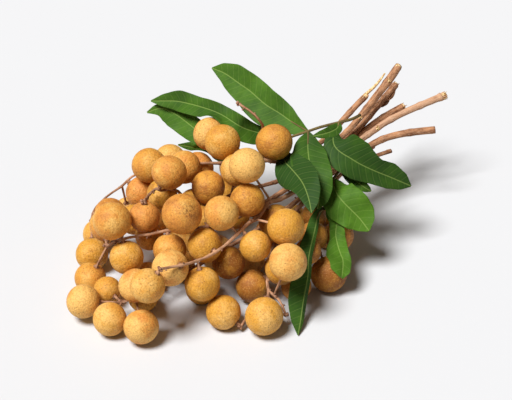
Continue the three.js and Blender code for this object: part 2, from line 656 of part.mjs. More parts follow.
// one fruit; its lowest facet is flat where it rests on the floor
function berry(c, r) {
  const g = new THREE.IcosahedronGeometry(r, 1);
  const facet = new THREE.Vector3(1, 1, 1).normalize();
  g.applyQuaternion(new THREE.Quaternion().setFromUnitVectors(facet, new THREE.Vector3(0, 0, -1)));
  g.translate(c[0], c[1], c[2]);
  const position = g.attributes.position;
  for (let i = 0; i < position.count; i += 1) {
    const z = position.getZ(i);
    if (z < BERRY.low * r) position.setZ(i, Math.max(z - BERRY.drop * r, 0));
  }
  return toManifold(g);
}

function tube(P, rad, sides) {
  const points = [];
  const faces = [];
  let normal = null;
  P.forEach((p, i) => {
    const T = unit(sub(P[Math.min(i + 1, P.length - 1)], P[Math.max(i - 1, 0)]));
    if (!normal) normal = Math.abs(T[2]) < 0.9 ? [0, 0, 1] : [1, 0, 0];
    normal = unit(sub(normal, mul(T, dot(normal, T))));
    const other = cross(T, normal);
    for (let k = 0; k < sides; k += 1) {
      const a = 2 * Math.PI * k / sides;
      points.push(add(p, add(mul(normal, rad[i] * Math.cos(a)), mul(other, rad[i] * Math.sin(a)))));
    }
  });
  for (let i = 0; i < P.length - 1; i += 1) {
    for (let k = 0; k < sides; k += 1) {
      const a = i * sides + k;
      const b = i * sides + (k + 1) % sides;
      faces.push([a, b, b + sides], [a, b + sides, a + sides]);
    }
  }
  const last = (P.length - 1) * sides;
  for (let k = 1; k < sides - 1; k += 1) {
    faces.push([0, k + 1, k], [last, last + k, last + k + 1]);
  }
  return closedMesh(points, faces);
}

// a tube along every second point of a route, with both ends and each bend that other wood grows from
function thinTube({ P, rad }, roots, sides) {
  const last = P.length - 1;
  const bent = (i) => segmentDistance(P[i - 1], P[i + 1], P[i]) > BEND;
  const root = (i) => roots.some((q) => len(sub(P[i], q)) < ROOT) && bent(i);
  const kept = [...P.keys()].filter((i) => i === last || (i % 2 === 0 && i !== last - 1) || root(i));
  return tube(kept.map((i) => P[i]), kept.map((i) => rad[i]), sides);
}

function blade(grid) {
  const rows = grid.filter((row, i) => i % 2 === 0).map((row) => row.filter((p, j) => j % 2 === 0));
  const m = rows.length;
  const n = rows[0].length;
  const normals = rows.map((row, i) => row.map((p, j) => {
    const a = sub(rows[Math.min(i + 1, m - 1)][j], rows[Math.max(i - 1, 0)][j]);
    const b = sub(row[Math.min(j + 1, n - 1)], row[Math.max(j - 1, 0)]);
    return unit(cross(b, a));
  }));
  const points = [];
  for (const sign of [1, -1]) {
    rows.forEach((row, i) => row.forEach((p, j) => {
      points.push(add(p, mul(normals[i][j], sign * BLADE / 2)));
    }));
  }
  const at = (side, i, j) => side * m * n + i * n + j;
  const faces = [];
  for (let i = 0; i < m - 1; i += 1) {
    for (let j = 0; j < n - 1; j += 1) {
      const [a, b, c, d] = [[i, j], [i, j + 1], [i + 1, j + 1], [i + 1, j]];
      faces.push([at(0, ...a), at(0, ...b), at(0, ...c)], [at(0, ...a), at(0, ...c), at(0, ...d)]);
      faces.push([at(1, ...a), at(1, ...c), at(1, ...b)], [at(1, ...a), at(1, ...d), at(1, ...c)]);
    }
  }
  const rim = [];
  for (let j = 0; j < n - 1; j += 1) rim.push([0, j]);
  for (let i = 0; i < m - 1; i += 1) rim.push([i, n - 1]);
  for (let j = n - 1; j > 0; j -= 1) rim.push([m - 1, j]);
  for (let i = m - 1; i > 0; i -= 1) rim.push([i, 0]);
  rim.forEach((a, k) => {
    const b = rim[(k + 1) % rim.length];
    faces.push([at(0, ...a), at(1, ...a), at(1, ...b)], [at(0, ...a), at(1, ...b), at(0, ...b)]);
  });
  return closedMesh(points, faces);
}

// fuses a node's solids; apart from crumbs they must form one body
function join(name, solids) {
  const parts = solids.reduce((a, b) => a.add(b)).simplify(SIMPLIFY).decompose();
  const [body, ...loose] = parts.sort((a, b) => b.volume() - a.volume());
  if (loose.some((x) => x.volume() > CRUMB)) throw new Error(`${name} has a loose piece`);
  return body;
}

function toMesh(name, solid, look) {
  const mesh = solid.getMesh();
  const geometry = new THREE.BufferGeometry();
  geometry.setAttribute('position', new THREE.BufferAttribute(new Float32Array(mesh.vertProperties), 3));
  geometry.setIndex(new THREE.BufferAttribute(new Uint32Array(mesh.triVerts), 1));
  geometry.computeVertexNormals();
  const item = new THREE.Mesh(geometry, new THREE.MeshStandardMaterial(look));
  item.name = name;
  item.position.set(SHIFT[0], SHIFT[1], 0);
  return item;
}

// The bunch
const seen = settle();
const { branches, wires: stems } = layBranches(seen);
const fruit = hiddenFruit(seen, stems);
const { made, wires } = growStalks(fruit, branches);

const bunch = new THREE.Group();
branches.forEach((branch, b) => {
  const stalks = made.filter((x) => x.b === b);
  const roots = [...stalks, ...branch.routes.slice(1)].map((x) => x.P[0]);
  const solids = branch.routes.map((route, k) => thinTube(route, roots, k ? SIDES.twig : SIDES.stem));
  for (const stalk of stalks) {
    solids.push(tube(stalk.P, stalk.rad, SIDES.stalk));
    solids.push(berry(fruit.P[stalk.fruit], fruit.R[stalk.fruit]));
  }
  bunch.add(toMesh(branch.name, join(branch.name, solids), SKIN));
});

const laid = [];
for (const stalk of LEAF_STALKS) {
  const way = stalk.stalk.map(([u, v, z]) => place(u, v, depthAt(v, z)));
  const raw = spline(way, STEP);
  const [r0, r1] = stalk.radius;
  const rad = raw.map((p, i) => r0 + (r1 - r0) * i / (raw.length - 1));
  const before = [...wires, ...laid.map((p) => ({ p, r: BLADE / 2 }))];
  const P = clearRoute(raw, rad, fruit, before, LEAF_ROUTE);
  const solids = [tube(P, rad, SIDES.leafStalk)];
  const own = [];
  for (const leaf of stalk.leaves) {
    const [u, v, z] = leaf.way[0];
    const wish = place(u, v, depthAt(v, z));
    const k = P.reduce((x, p, i) => (len(sub(p, wish)) < len(sub(P[x], wish)) ? i : x), 0);
    const others = [...laid, ...own.filter((p) => len(sub(p, P[k])) > LEAF_CLEAR.foot)];
    const grid = clearLeaf(leafGrid(leaf, P[k]), fruit, wires, others);
    own.push(...grid.flat());
    const mid = grid.map((row) => row[ACROSS / 2]);
    solids.push(tube([P[k], mid[2], mid[4]], FOOT, SIDES.foot));
    solids.push(blade(grid));
  }
  laid.push(...own, ...P);
  bunch.add(toMesh(stalk.name, join(stalk.name, solids), LEAF));
}

export default bunch;
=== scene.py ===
"""A bunch of longan fruit lying on a pale floor, dressed around its CAD solids.

The layout repeats the part's own rules, so that every piece lies where its solid lies. Places are
drawn in the plane of a picture taken from the front and above, the fruit are pushed apart along
their sight lines, and twigs, stalks and leaves are slid clear of them. The layout is in
millimetres, with its own middle, and a mesh is written in metres around the CAD origin.
"""

from __future__ import annotations

import logging
import math
from dataclasses import dataclass, field
from enum import Enum

import bpy
import numpy as np
from mathutils import Matrix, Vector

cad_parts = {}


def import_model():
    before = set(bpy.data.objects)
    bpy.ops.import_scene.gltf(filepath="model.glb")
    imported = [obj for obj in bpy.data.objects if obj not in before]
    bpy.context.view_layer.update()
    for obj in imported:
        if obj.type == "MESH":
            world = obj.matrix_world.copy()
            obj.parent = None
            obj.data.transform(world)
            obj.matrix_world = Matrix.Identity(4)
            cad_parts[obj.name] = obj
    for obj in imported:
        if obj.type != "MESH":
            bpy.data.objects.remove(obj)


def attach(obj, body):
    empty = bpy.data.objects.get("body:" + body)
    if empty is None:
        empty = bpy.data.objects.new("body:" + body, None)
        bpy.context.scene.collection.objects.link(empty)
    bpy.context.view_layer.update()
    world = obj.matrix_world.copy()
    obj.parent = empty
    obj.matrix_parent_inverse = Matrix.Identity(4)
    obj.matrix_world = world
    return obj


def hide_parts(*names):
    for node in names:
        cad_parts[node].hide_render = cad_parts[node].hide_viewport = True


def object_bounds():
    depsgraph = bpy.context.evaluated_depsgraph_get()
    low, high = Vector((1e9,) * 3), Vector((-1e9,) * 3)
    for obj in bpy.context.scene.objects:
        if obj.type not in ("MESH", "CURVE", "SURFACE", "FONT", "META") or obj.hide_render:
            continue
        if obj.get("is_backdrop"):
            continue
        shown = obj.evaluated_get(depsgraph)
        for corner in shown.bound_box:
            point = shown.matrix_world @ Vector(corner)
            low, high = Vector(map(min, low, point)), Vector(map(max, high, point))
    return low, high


Array = np.ndarray
Socket = bpy.types.NodeSocket
Material = bpy.types.Material
Piece = bpy.types.Object
log = logging.getLogger("longan_bunch")

# metres in a millimetre, and the way from the layout's middle to the CAD origin, in mm
MM = 0.001
SHIFT = np.array([-8.42, -9.72, 0.0])

# spacing of the points of a laid route, and the least space between wood and the floor
STEP = 5.0
FLOOR_CLEAR = 0.4

# a solid blade's thickness, the pieces of its grid each way, and the stations of its half widths
BLADE = 0.7
ALONG = 24
ACROSS = 8
STATIONS = np.array([0, 0.08, 0.2, 0.35, 0.5, 0.65, 0.8, 0.92, 1])

# a length or its square that is taken as none
TINY = 1e-9


class Part(Enum):
    """The finishes of one woody branch, in the order of its material slots."""

    BARK = 0
    CUT = 1
    CALYX = 2


class LeafPart(Enum):
    """The finishes of a compound leaf, in the order of its material slots."""

    UPPER = 0
    UNDER = 1
    STALK = 2

    @property
    def side(self) -> float:
        """Which way a face looks: 1 for the upper one, -1 for the under one."""
        return 1.0 if self is LeafPart.UPPER else -1.0


@dataclass(frozen=True)
class Leaf:
    """One leaflet, from its foot to its tip.

    The way is across, down and height; the half widths stand at STATIONS, left and right of the
    way; the folds are in degrees and positive towards the upper face.
    """

    way: tuple
    left: tuple
    right: tuple
    fold: tuple
    waves: int
    height: float


@dataclass(frozen=True)
class LeafStalk:
    """One compound leaf: its stalk's radii at both ends and its way, and its leaflets."""

    name: str
    radius: tuple
    stalk: tuple
    leaves: tuple


@dataclass(frozen=True)
class Stem:
    """One woody stem: name, radii at the cut end and the tip, and its way."""

    name: str
    start: float
    end: float
    way: tuple


@dataclass(frozen=True)
class Twig:
    """A twig that grows from a branch: branch number, radii at root and tip, and its way."""

    branch: int
    start: float
    end: float
    way: tuple


@dataclass(frozen=True)
class Fray:
    """How a cut end is torn.

    The bark is missing over the length torn and ends flare wider than the stem. Splinters reach
    to the end, longer or shorter by a length, and lean out by the spread. The tongue is a long
    torn strip, by its places in the picture. A flake of bark is its distance behind the end, its
    length, and its turn round the stem. A knot is its place in the picture and its radius.
    """

    splinters: int
    length: float
    torn: float = 1.0
    flare: float = 0.0
    spread: float = 0.2
    tongue: tuple = ()
    flakes: tuple = ()
    knots: tuple = ()


# across, down, radius, wished height of the centre
SEEN = (
    (149.2, 165.3, 17.5, 58), (169.5, 172.5, 17.8, 78), (170, 160, 16.2, 50), (184, 167, 17, 62),
    (197.5, 168, 16.3, 47), (210, 134, 17, 74), (222.5, 142, 18, 84), (274.3, 142.3, 18.8, 82),
    (247, 165.5, 18.2, 88), (237, 170, 16.6, 72), (247.3, 200.5, 17.7, 66), (208.5, 187, 17.1, 62),
    (221.5, 213.5, 18, 66), (182, 214, 20.8, 68), (144.3, 217, 15.8, 56), (112, 220.8, 19.5, 58),
    (110, 213.5, 16, 38), (141.5, 192, 16.2, 38), (162, 194, 15.5, 54), (134, 219.5, 15.5, 42),
    (149.5, 236, 14.5, 37), (126.5, 257.3, 17.4, 39), (92, 254, 16.6, 13), (98, 234, 15.5, 13),
    (90.4, 278, 16, 12), (83.3, 301.5, 17.2, 12), (107.3, 290.3, 14.2, 12), (109.8, 319, 17.4, 12),
    (141.2, 327, 17.8, 12.5), (147.7, 285.7, 18, 42), (135.5, 285.5, 17.2, 30), (143, 297, 15.5, 11),
    (170.3, 268, 18.7, 40), (169.7, 249.7, 16.8, 38), (205, 245.3, 17.7, 46), (202.5, 284, 18, 30),
    (228.5, 262.5, 17, 28), (255.3, 246, 16.2, 44), (286, 227, 19, 58), (288, 262.5, 19.5, 46),
    (281, 269, 16.4, 29), (275.5, 221, 17.3, 44), (252.5, 286, 17, 12), (223.5, 312.5, 17.8, 12.3),
    (264, 316.3, 19.5, 13.4), (328.5, 274, 18.5, 12.6), (296, 286, 15.6, 11), (338.5, 235, 15.7, 25),
    (313, 236, 15, 33), (308, 251, 13.5, 33), (314, 216, 13, 38),
)

# ways: across, down, height, and 1 where the wood lies over the fruit
BRANCHES = (
    Stem("branch_1", 2.3, 0.9, (
        (367, 95, 80), (358, 103, 77), (350, 112, 73), (341, 122, 68), (325, 142, 60), (300, 155, 54),
        (270, 161, 52), (240, 163, 54), (215, 163, 56), (200, 163, 57), (180, 172, 48), (160, 181, 46),
    )),
    Stem("branch_2", 3.1, 0.9, (
        (398.5, 66, 92), (391, 78, 88), (375, 98, 80), (358, 120, 70), (343, 137, 64), (318, 153, 61),
        (295, 161, 60), (272, 165, 61), (252, 154, 64), (236, 150, 66), (222, 150, 67),
    )),
    Stem("branch_3", 2.7, 0.9, (
        (396, 84, 74), (385, 98, 70), (372, 112, 66), (358, 130, 60), (322, 160, 54), (290, 178, 50),
        (262, 186, 48), (235, 192, 48), (210, 207, 48), (190, 196, 46), (172, 206, 44),
    )),
    Stem("branch_4", 2.6, 0.9, (
        (404, 106, 66), (388, 114, 63), (372, 124, 60), (354, 138, 56), (324, 165, 48), (288, 188, 42),
        (250, 212, 40), (215, 226, 42), (190, 230, 46), (174, 229.5, 51), (155, 233, 49, 1),
        (140, 235.5, 47.5, 1), (125, 238.5, 47, 1), (116, 241, 43.5, 1), (107, 246.5, 36, 1),
    )),
    Stem("branch_5", 2.7, 0.9, (
        (446, 95, 72), (420, 105.5, 68), (400, 114, 64), (380, 125, 60), (366, 135, 57), (328, 168, 54),
        (295, 192, 52), (268, 208, 54), (247, 223, 55.5), (238, 233, 54, 1), (228, 245, 49, 1),
        (215, 254, 47, 1), (205, 259.5, 46, 1), (195, 263, 45, 1), (182, 266, 45, 1), (170, 267.5, 44, 1),
        (160.5, 269, 44, 1),
    )),
    Stem("branch_6", 2.7, 0.9, (
        (435, 130, 58), (410, 132, 57), (392, 135, 55), (374, 142, 52), (332, 172, 46), (292, 205, 36),
        (255, 232, 27), (222, 250, 22), (195, 268, 17), (175, 279, 14), (155, 290, 13), (138, 301.5, 12),
        (122, 302.5, 12),
    )),
    Stem("branch_7", 2.5, 0.9, (
        (374, 145, 42), (362, 150, 42), (328, 174, 39), (300, 205, 34), (282, 232, 26), (266, 258, 20),
        (262, 278, 18), (270, 290, 18), (268, 297, 17),
    )),
    Stem("branch_8", 1.6, 0.9, (
        (391, 151, 44), (376, 155.5, 44), (350, 165, 44), (330, 185, 42), (318, 203, 38), (313, 222, 32),
        (318, 238, 24), (320, 252, 20),
    )),
)

TWIGS = (
    Twig(0, 0.9, 0.7, (
        (160, 181, 46), (146, 181, 44), (135, 181, 40), (122, 188, 38), (110, 193, 37), (101, 200, 37),
        (93, 207.5, 37), (91.3, 213, 35), (91.5, 219, 33),
    )),
    Twig(1, 1.1, 0.8, (
        (285, 163, 60), (276, 152, 65), (266, 143, 72), (262, 134, 80), (266, 125, 91), (261, 118.5, 98),
        (255, 112, 102), (247, 107.5, 104), (239, 104, 105),
    )),
    Twig(2, 1.1, 0.8, (
        (190, 196, 46), (172, 190, 58), (158.5, 184.5, 60, 1), (150, 193, 57, 1), (144, 201, 55, 1),
    )),
    Twig(6, 1.0, 0.8, (
        (270, 292, 18), (281, 296, 16), (284, 304, 14), (285.5, 314, 9),
    )),
    Twig(6, 1.0, 0.8, (
        (266, 298, 15), (253, 306, 9), (245, 319, 6), (241, 326, 5),
    )),
)

LEAF_STALKS = (
    LeafStalk(name="compound_leaf_1", radius=(1.15, 0.9), stalk=(
        (360, 115, 84), (352, 119.5, 85), (339, 122.5, 85.5), (320, 127, 85.5), (309, 131, 84.5),
        (300, 134, 83), (293, 136, 80.5), (284, 140, 76),
    ), leaves=(
        Leaf(fold=(8, 14), waves=3, height=0.9, way=(
            (309, 131, 84.5), (303, 128.5, 85), (292, 122, 87), (280, 113.5, 90), (265, 104, 94),
            (250, 91, 98), (240, 84, 101), (225, 73.5, 104), (212, 68, 105),
        ), left=(1, 10, 18, 22, 20.5, 17, 12.5, 6.5, 0.8), right=(1, 6, 12, 16, 17, 17, 16, 9, 0.8)),
        Leaf(fold=(10, 14), waves=4, height=1.5, way=(
            (284, 140, 76), (262, 134, 74), (245, 130, 78), (235, 126, 81.5), (222, 119, 83),
            (210, 113, 84), (195, 106.5, 84), (180, 102, 83), (170, 101, 82), (151, 101, 79),
        ), left=(1, 6, 14, 18, 17, 14, 11, 6, 0.8), right=(1, 4, 8, 13, 13, 11, 12, 7, 0.8)),
        Leaf(fold=(8, 8), waves=2, height=0.5, way=(
            (339, 122.5, 85.5), (337, 128, 84.5), (331, 131.5, 84), (323, 134, 83.5), (313, 136, 82.5),
        ), left=(0.8, 3, 5.5, 6.5, 6.5, 5.5, 4, 2.2, 0.8), right=(0.8, 3, 5, 6, 6, 5, 4, 2.2, 0.8)),
        Leaf(fold=(6, 10), waves=3, height=1.2, way=(
            (339, 122.5, 85.5), (333, 136, 81.5), (334, 145.5, 78.5), (340, 152, 76), (350, 158, 73),
            (360, 164, 69), (375, 171, 63), (390, 177, 57), (411, 186, 48),
        ), left=(0.8, 3, 12, 23, 22, 13, 14.5, 9, 0.8), right=(0.8, 3, 9, 18, 18, 14, 12.5, 8, 0.8)),
        Leaf(fold=(8, 8), waves=3, height=0.9, way=(
            (284, 140, 76), (281, 149, 73), (284, 160, 71), (290, 167, 70.5), (300, 179, 69),
            (305, 188, 68), (309, 200, 64), (311.5, 213, 59),
        ), left=(1, 4, 9, 15, 19, 18, 14, 8, 0.8), right=(1, 2.5, 7, 16, 19.5, 17.5, 10, 5, 0.8)),
        Leaf(fold=(4, 6), waves=3, height=0.9, way=(
            (309, 131, 84.5), (308, 138, 81), (307.5, 148, 77), (309, 160, 73), (313, 172, 69),
            (317, 186, 63), (319, 198, 57), (317.5, 209, 51),
        ), left=(1, 8, 16, 19, 19, 18, 14.5, 8, 0.8), right=(1, 8, 15, 18, 16, 14, 11, 6, 0.8)),
    )),
    LeafStalk(name="compound_leaf_2", radius=(1.15, 0.9), stalk=(
        (352, 160, 59), (342, 168, 58), (333, 178, 56), (327, 190, 52), (325, 200, 48.5), (326, 208, 46),
    ), leaves=(
        Leaf(fold=(-40, 8), waves=3, height=0.8, way=(
            (326, 208, 46), (319, 213, 47), (314, 232, 46), (308, 256, 39), (307, 275, 28), (303, 300, 16),
            (300.5, 320, 7), (298, 335, 1.2),
        ), left=(1, 3, 4, 4, 5, 5, 5, 4, 0.8), right=(1, 4.5, 7.5, 9, 13, 18, 15, 9, 0.8)),
        Leaf(fold=(10, 10), waves=3, height=1.2, way=(
            (326, 208, 46), (333, 216, 42), (336, 223, 38), (335, 235, 32), (337, 245, 28), (340, 255, 25),
            (342, 262, 23), (341, 272, 19), (340, 279, 16),
        ), left=(1, 4, 6, 10, 10, 9, 9, 8, 2), right=(1, 6, 7, 8, 12, 15, 15, 12, 2)),
        Leaf(fold=(6, 6), waves=3, height=1.4, way=(
            (333, 178, 56), (335, 190, 54), (341, 200, 51), (350, 209, 46.5), (360, 219, 41),
            (369, 231, 35),
        ), left=(1, 8, 16, 19, 21, 21, 18, 11, 1.5), right=(1, 8, 16, 21, 22, 19, 16, 9, 1.5)),
        Leaf(fold=(8, 8), waves=2, height=0.6, way=(
            (342, 168, 58), (348, 173, 58), (356, 181, 56), (364, 187, 53), (371, 191, 49),
        ), left=(0.8, 3, 6, 7, 7, 6.5, 5, 3, 0.8), right=(0.8, 3, 6, 7, 7, 6.5, 5, 3, 0.8)),
    )),
    LeafStalk(name="compound_leaf_3", radius=(1.0, 0.8), stalk=(
        (249, 149, 57), (241, 151, 58), (232, 150.5, 60.5), (225, 148, 63),
    ), leaves=(
        Leaf(fold=(8, 6), waves=3, height=1.4, way=(
            (225, 148, 63), (210, 140, 66.5), (193, 127, 70), (175, 114, 72.5), (160, 108.5, 73),
            (147, 112.5, 70.5),
        ), left=(1, 5, 10, 14, 15, 15, 12, 6, 0.8), right=(1, 5, 9, 11, 11, 10, 8, 4, 0.8)),
        Leaf(fold=(6, 6), waves=2, height=0.6, way=(
            (241, 151, 58), (228, 155, 57), (215, 153, 57.5), (203, 149.5, 59), (190, 147, 61),
            (178, 145, 63),
        ), left=(1, 5, 8, 9, 9, 8, 6, 3, 0.8), right=(1, 5, 8, 9, 9, 8, 6, 3, 0.8)),
    )),
)

# how brown single fruit are, by their place in SEEN, where it differs from the rule; on fruit that lie deep
# in the heap's shade, the high values are partly painted shade
FRUIT_BROWN_AND_SHADE = {
    0: 0.4, 1: 0.32, 2: 0.35, 3: 0.45, 4: 0.5, 5: 0.22, 6: 0.38, 7: 0.62, 8: 0.02, 9: 0.2, 10: 0.62,
    11: 0.75, 12: 0.3, 13: 0.52, 14: 0.6, 15: 0.34, 17: 0.5, 18: 0.45, 19: 0.6, 20: 0.5, 21: 0.42, 22: 0.4,
    23: 0.3, 24: 0.45, 25: 0.02, 26: 0.25, 27: 0.18, 28: 0.2, 29: 0.3, 30: 0.12, 31: 0.5, 32: 0.08,
    33: 0.45, 34: 0.58, 35: 0.5, 36: 0.95, 37: 0.4, 38: 0.45, 39: 0.12, 40: 0.5, 41: 0.62, 42: 0.9,
    43: 0.38, 44: 0.32, 45: 1.0, 46: 0.85, 47: 0.8, 48: 0.9, 49: 0.9, 50: 0.8,
}

# how far single fruit lean from yellow to peach, where it differs from the rule
WARMTH = {
    0: 0.4, 1: 0.5, 5: 0.6, 6: 0.35, 7: 0.5, 8: 0.45, 10: 0.4, 11: 0.55, 12: 0.5, 13: 0.6, 14: 0.8, 15: 0.5,
    17: 0.9, 18: 0.05, 21: 0.2, 25: 0.35, 26: 0.2, 27: 0.25, 28: 0.5, 29: 0.4, 32: 0.9, 34: 0.05, 35: 0.1,
    37: 0.1, 38: 0.2, 39: 0.5, 42: 0.5, 43: 0.1, 44: 0.05,
}

# the fruit with a dark patch: its number in SEEN, and the patch's place and reach in the picture
SCARRED_FRUIT = 13
SCAR_PLACE = (190.0, 211.0)
SCAR_REACH = 9.0

# how each branch's cut end is torn
FRAYS = (
    Fray(
        splinters=6, length=2.0, torn=3.0, flare=0.05, spread=0.3,
        tongue=((363, 97), (369, 91.5), (375, 86), (380.5, 79.5), (385, 73)),
        flakes=((12.0, 12.0, 2.0),),
    ),
    Fray(
        splinters=3, length=0.5, torn=0.6, flare=-0.15, spread=0.1,
        flakes=((22.0, 18.0, 2.9),), knots=((387, 82.5, 1.5), (357, 119, 1.6)),
    ),
    Fray(splinters=4, length=1.5, flakes=((5.0, 15.0, 0.4), (12.0, 14.0, 0.9))),
    Fray(splinters=5, length=1.5, torn=1.5, flakes=((2.0, 14.0, 2.6),)),
    Fray(splinters=12, length=1.0, torn=4.5, flare=0.26, spread=0.9, knots=((377, 132.5, 1.5),)),
    Fray(splinters=4, length=0.5, torn=0.6, spread=0.1),
    Fray(splinters=6, length=0.5, torn=0.8, flare=0.15, spread=0.3),
    Fray(splinters=2, length=0.4, torn=0.5),
)

# how much paler each branch's bark is, and how fresh each leaflet's green is
BARK_TONES = (0.0, 0.01, -0.02, 0.0, 0.07, 0.0, 0.0, -0.08)
LEAF_TONES = {
    "compound_leaf_1": (0.45, 0.35, 0.45, 0.1, 0.0, 0.3),
    "compound_leaf_2": (0.2, 0.65, 0.6, 0.3),
    "compound_leaf_3": (0.45, 0.4),
}


def unit(vectors: Array) -> Array:
    """Scales vectors to length one along their last axis."""
    return vectors / np.linalg.norm(vectors, axis=-1, keepdims=True)


def angles(count: int) -> Array:
    """Spreads angles evenly round a circle, from zero."""
    return 2 * math.pi * np.arange(count) / count


@dataclass(frozen=True)
class PicturePlane:
    """The plane that the places are drawn in, seen from the front and above."""

    elevation: float = math.radians(33.0)
    mm_per_unit: float = 0.69
    distance: float = 1000.0
    target: tuple = (0.0, 0.0, 50.0)
    middle: tuple = (256.0, 200.0)

    @property
    def up(self) -> Array:
        """The picture's upward direction."""
        return np.array([0.0, math.sin(self.elevation), math.cos(self.elevation)])

    @property
    def near(self) -> Array:
        """The direction towards the eye."""
        return np.array([0.0, -math.cos(self.elevation), math.sin(self.elevation)])

    @property
    def eye(self) -> Array:
        """Where the eye stands."""
        return np.array(self.target) + self.near * self.distance

    def place(self, u: float, v: float, depth: float) -> Array:
        """Finds the point seen at u across and v down.

        Args:
            u: Distance across the picture.
            v: Distance down the picture.
            depth: How much nearer to the eye than the target, in mm.

        Returns:
            The point in mm.
        """
        k = self.mm_per_unit * (self.distance - depth) / self.distance
        across = np.array([(u - self.middle[0]) * k, 0.0, 0.0])
        return np.array(self.target) + across + self.up * (self.middle[1] - v) * k + self.near * depth

    def depth_at(self, v: float, z: float) -> float:
        """Finds the depth at which a point seen at v down is z mm high."""
        b = (self.middle[1] - v) * self.mm_per_unit * math.cos(self.elevation)
        return (z - self.target[2] - b) / (math.sin(self.elevation) - b / self.distance)

    def at_height(self, u: float, v: float, z: float) -> Array:
        """Finds the point seen at u across and v down that is z mm high."""
        return self.place(u, v, self.depth_at(v, z))

    def seen_at(self, points: Array) -> tuple[Array, Array, Array]:
        """Finds where points are seen.

        Args:
            points: The points in mm.

        Returns:
            How far across and down the picture they are, and their depth.
        """
        d = points - np.array(self.target)
        depth = d @ self.near
        k = self.distance / (self.distance - depth) / self.mm_per_unit
        return self.middle[0] + d[..., 0] * k, self.middle[1] - (d @ self.up) * k, depth


PLANE = PicturePlane()


@dataclass
class Wires:
    """Points along all the wood laid so far, with radius and branch number."""

    points: Array = field(default_factory=lambda: np.zeros((0, 3)))
    radii: Array = field(default_factory=lambda: np.zeros(0))
    branch: Array = field(default_factory=lambda: np.zeros(0, int))

    def lay(self, points: Array, radii: Array, branch: int) -> None:
        """Adds the points of one route.

        Args:
            points: Its points.
            radii: Its radius at each.
            branch: The number of its branch.
        """
        self.points = np.vstack([self.points, points])
        self.radii = np.concatenate([self.radii, radii])
        self.branch = np.concatenate([self.branch, np.full(len(points), branch)])

    def space(self, point: Array) -> float:
        """Gives the least distance from a point to the wood."""
        return (np.linalg.norm(self.points - point, axis=1) - self.radii).min()

    def beyond(self, place: Array, reach: float) -> Wires:
        """Picks the wood that is a reach away from a place, or farther."""
        far = np.linalg.norm(self.points - place, axis=1) >= reach
        return Wires(self.points[far], self.radii[far], self.branch[far])


@dataclass
class Heap:
    """The fruit as round bodies, the seen ones first: centres and radii in mm.

    Seen fruit stand a gap apart. A fruit on the floor has a flat spot, so that its centre is only
    a share of its radius high.
    """

    centres: Array = field(default_factory=lambda: np.zeros((0, 3)))
    radii: Array = field(default_factory=lambda: np.zeros(0))
    gap: float = 0.45
    rest: float = 0.955
    rounds: int = 600
    still: float = 1e-3
    give: float = 0.25
    drape_gap: float = 0.5

    def settle(self) -> None:
        """Places the seen fruit and pushes them apart along their sight lines.

        Each pair keeps the order in depth that the wished heights give. A fruit moves along its
        own sight line only, so that it stays where the picture shows it. The rounds end when no
        pair is short of its space by more than a still length.
        """
        u, v, wide, high = np.array(SEEN, float).T
        depth = np.array([PLANE.depth_at(a, b) for a, b in zip(v, high)])
        radii = wide * PLANE.mm_per_unit * (1 - depth / PLANE.distance)
        points = np.array([PLANE.place(*row) for row in zip(u, v, depth)])
        lines = unit(PLANE.eye - points)
        sign = np.where(depth[:, None] >= depth[None], 1.0, -1.0)
        need = radii[:, None] + radii[None] + self.gap
        for _ in range(self.rounds):
            low = np.maximum(radii * self.rest - points[:, 2], 0)
            points = points + lines * (low / lines[:, 2])[:, None]
            d = points[:, None] - points[None]
            along = d @ PLANE.near
            want = np.sqrt(np.maximum(need**2 - (d**2).sum(2) + along**2, 0))
            short = np.maximum(want - along * sign, 0) * (want > 0)
            np.fill_diagonal(short, 0)
            if short.max() < self.still:
                break
            points = points + lines * (self.give * (sign * short).sum(1))[:, None]
        self.centres, self.radii = points, radii

    def space(self, point: Array) -> float:
        """Gives the least distance from a point to any fruit's rind."""
        return (np.linalg.norm(self.centres - point, axis=1) - self.radii).min()

    def without(self, fruit: int) -> Heap:
        """Picks all the fruit but one."""
        keep = np.arange(len(self.centres)) != fruit
        return Heap(self.centres[keep], self.radii[keep])

    def drape(self, way: tuple, radius: float) -> Array:
        """Places a way point at its height, or lays it on the fruit under it.

        Args:
            way: Across, down, height, and 1 where it lies over the fruit.
            radius: Radius of the wood.

        Returns:
            The point in mm.
        """
        u, v, z = way[:3]
        depth = PLANE.depth_at(v, z)
        p = PLANE.place(u, v, depth)
        if len(way) < 4:
            return p
        d = self.centres - p
        along = d @ PLANE.near
        reach = (self.radii + radius + self.drape_gap) ** 2 - ((d**2).sum(1) - along**2)
        hit = reach > 0
        extra = (along[hit] + np.sqrt(reach[hit])).max() if hit.any() else 0.0
        return PLANE.place(u, v, depth + extra) if extra > 0 else p


@dataclass
class Draw:
    """A seeded row of numbers between 0 and 1, each worked out from the one before."""

    state: int = 20861
    factor: int = 16807
    modulus: int = 2147483647

    def next(self) -> float:
        """Draws the next number."""
        self.state = self.state * self.factor % self.modulus
        return self.state / self.modulus


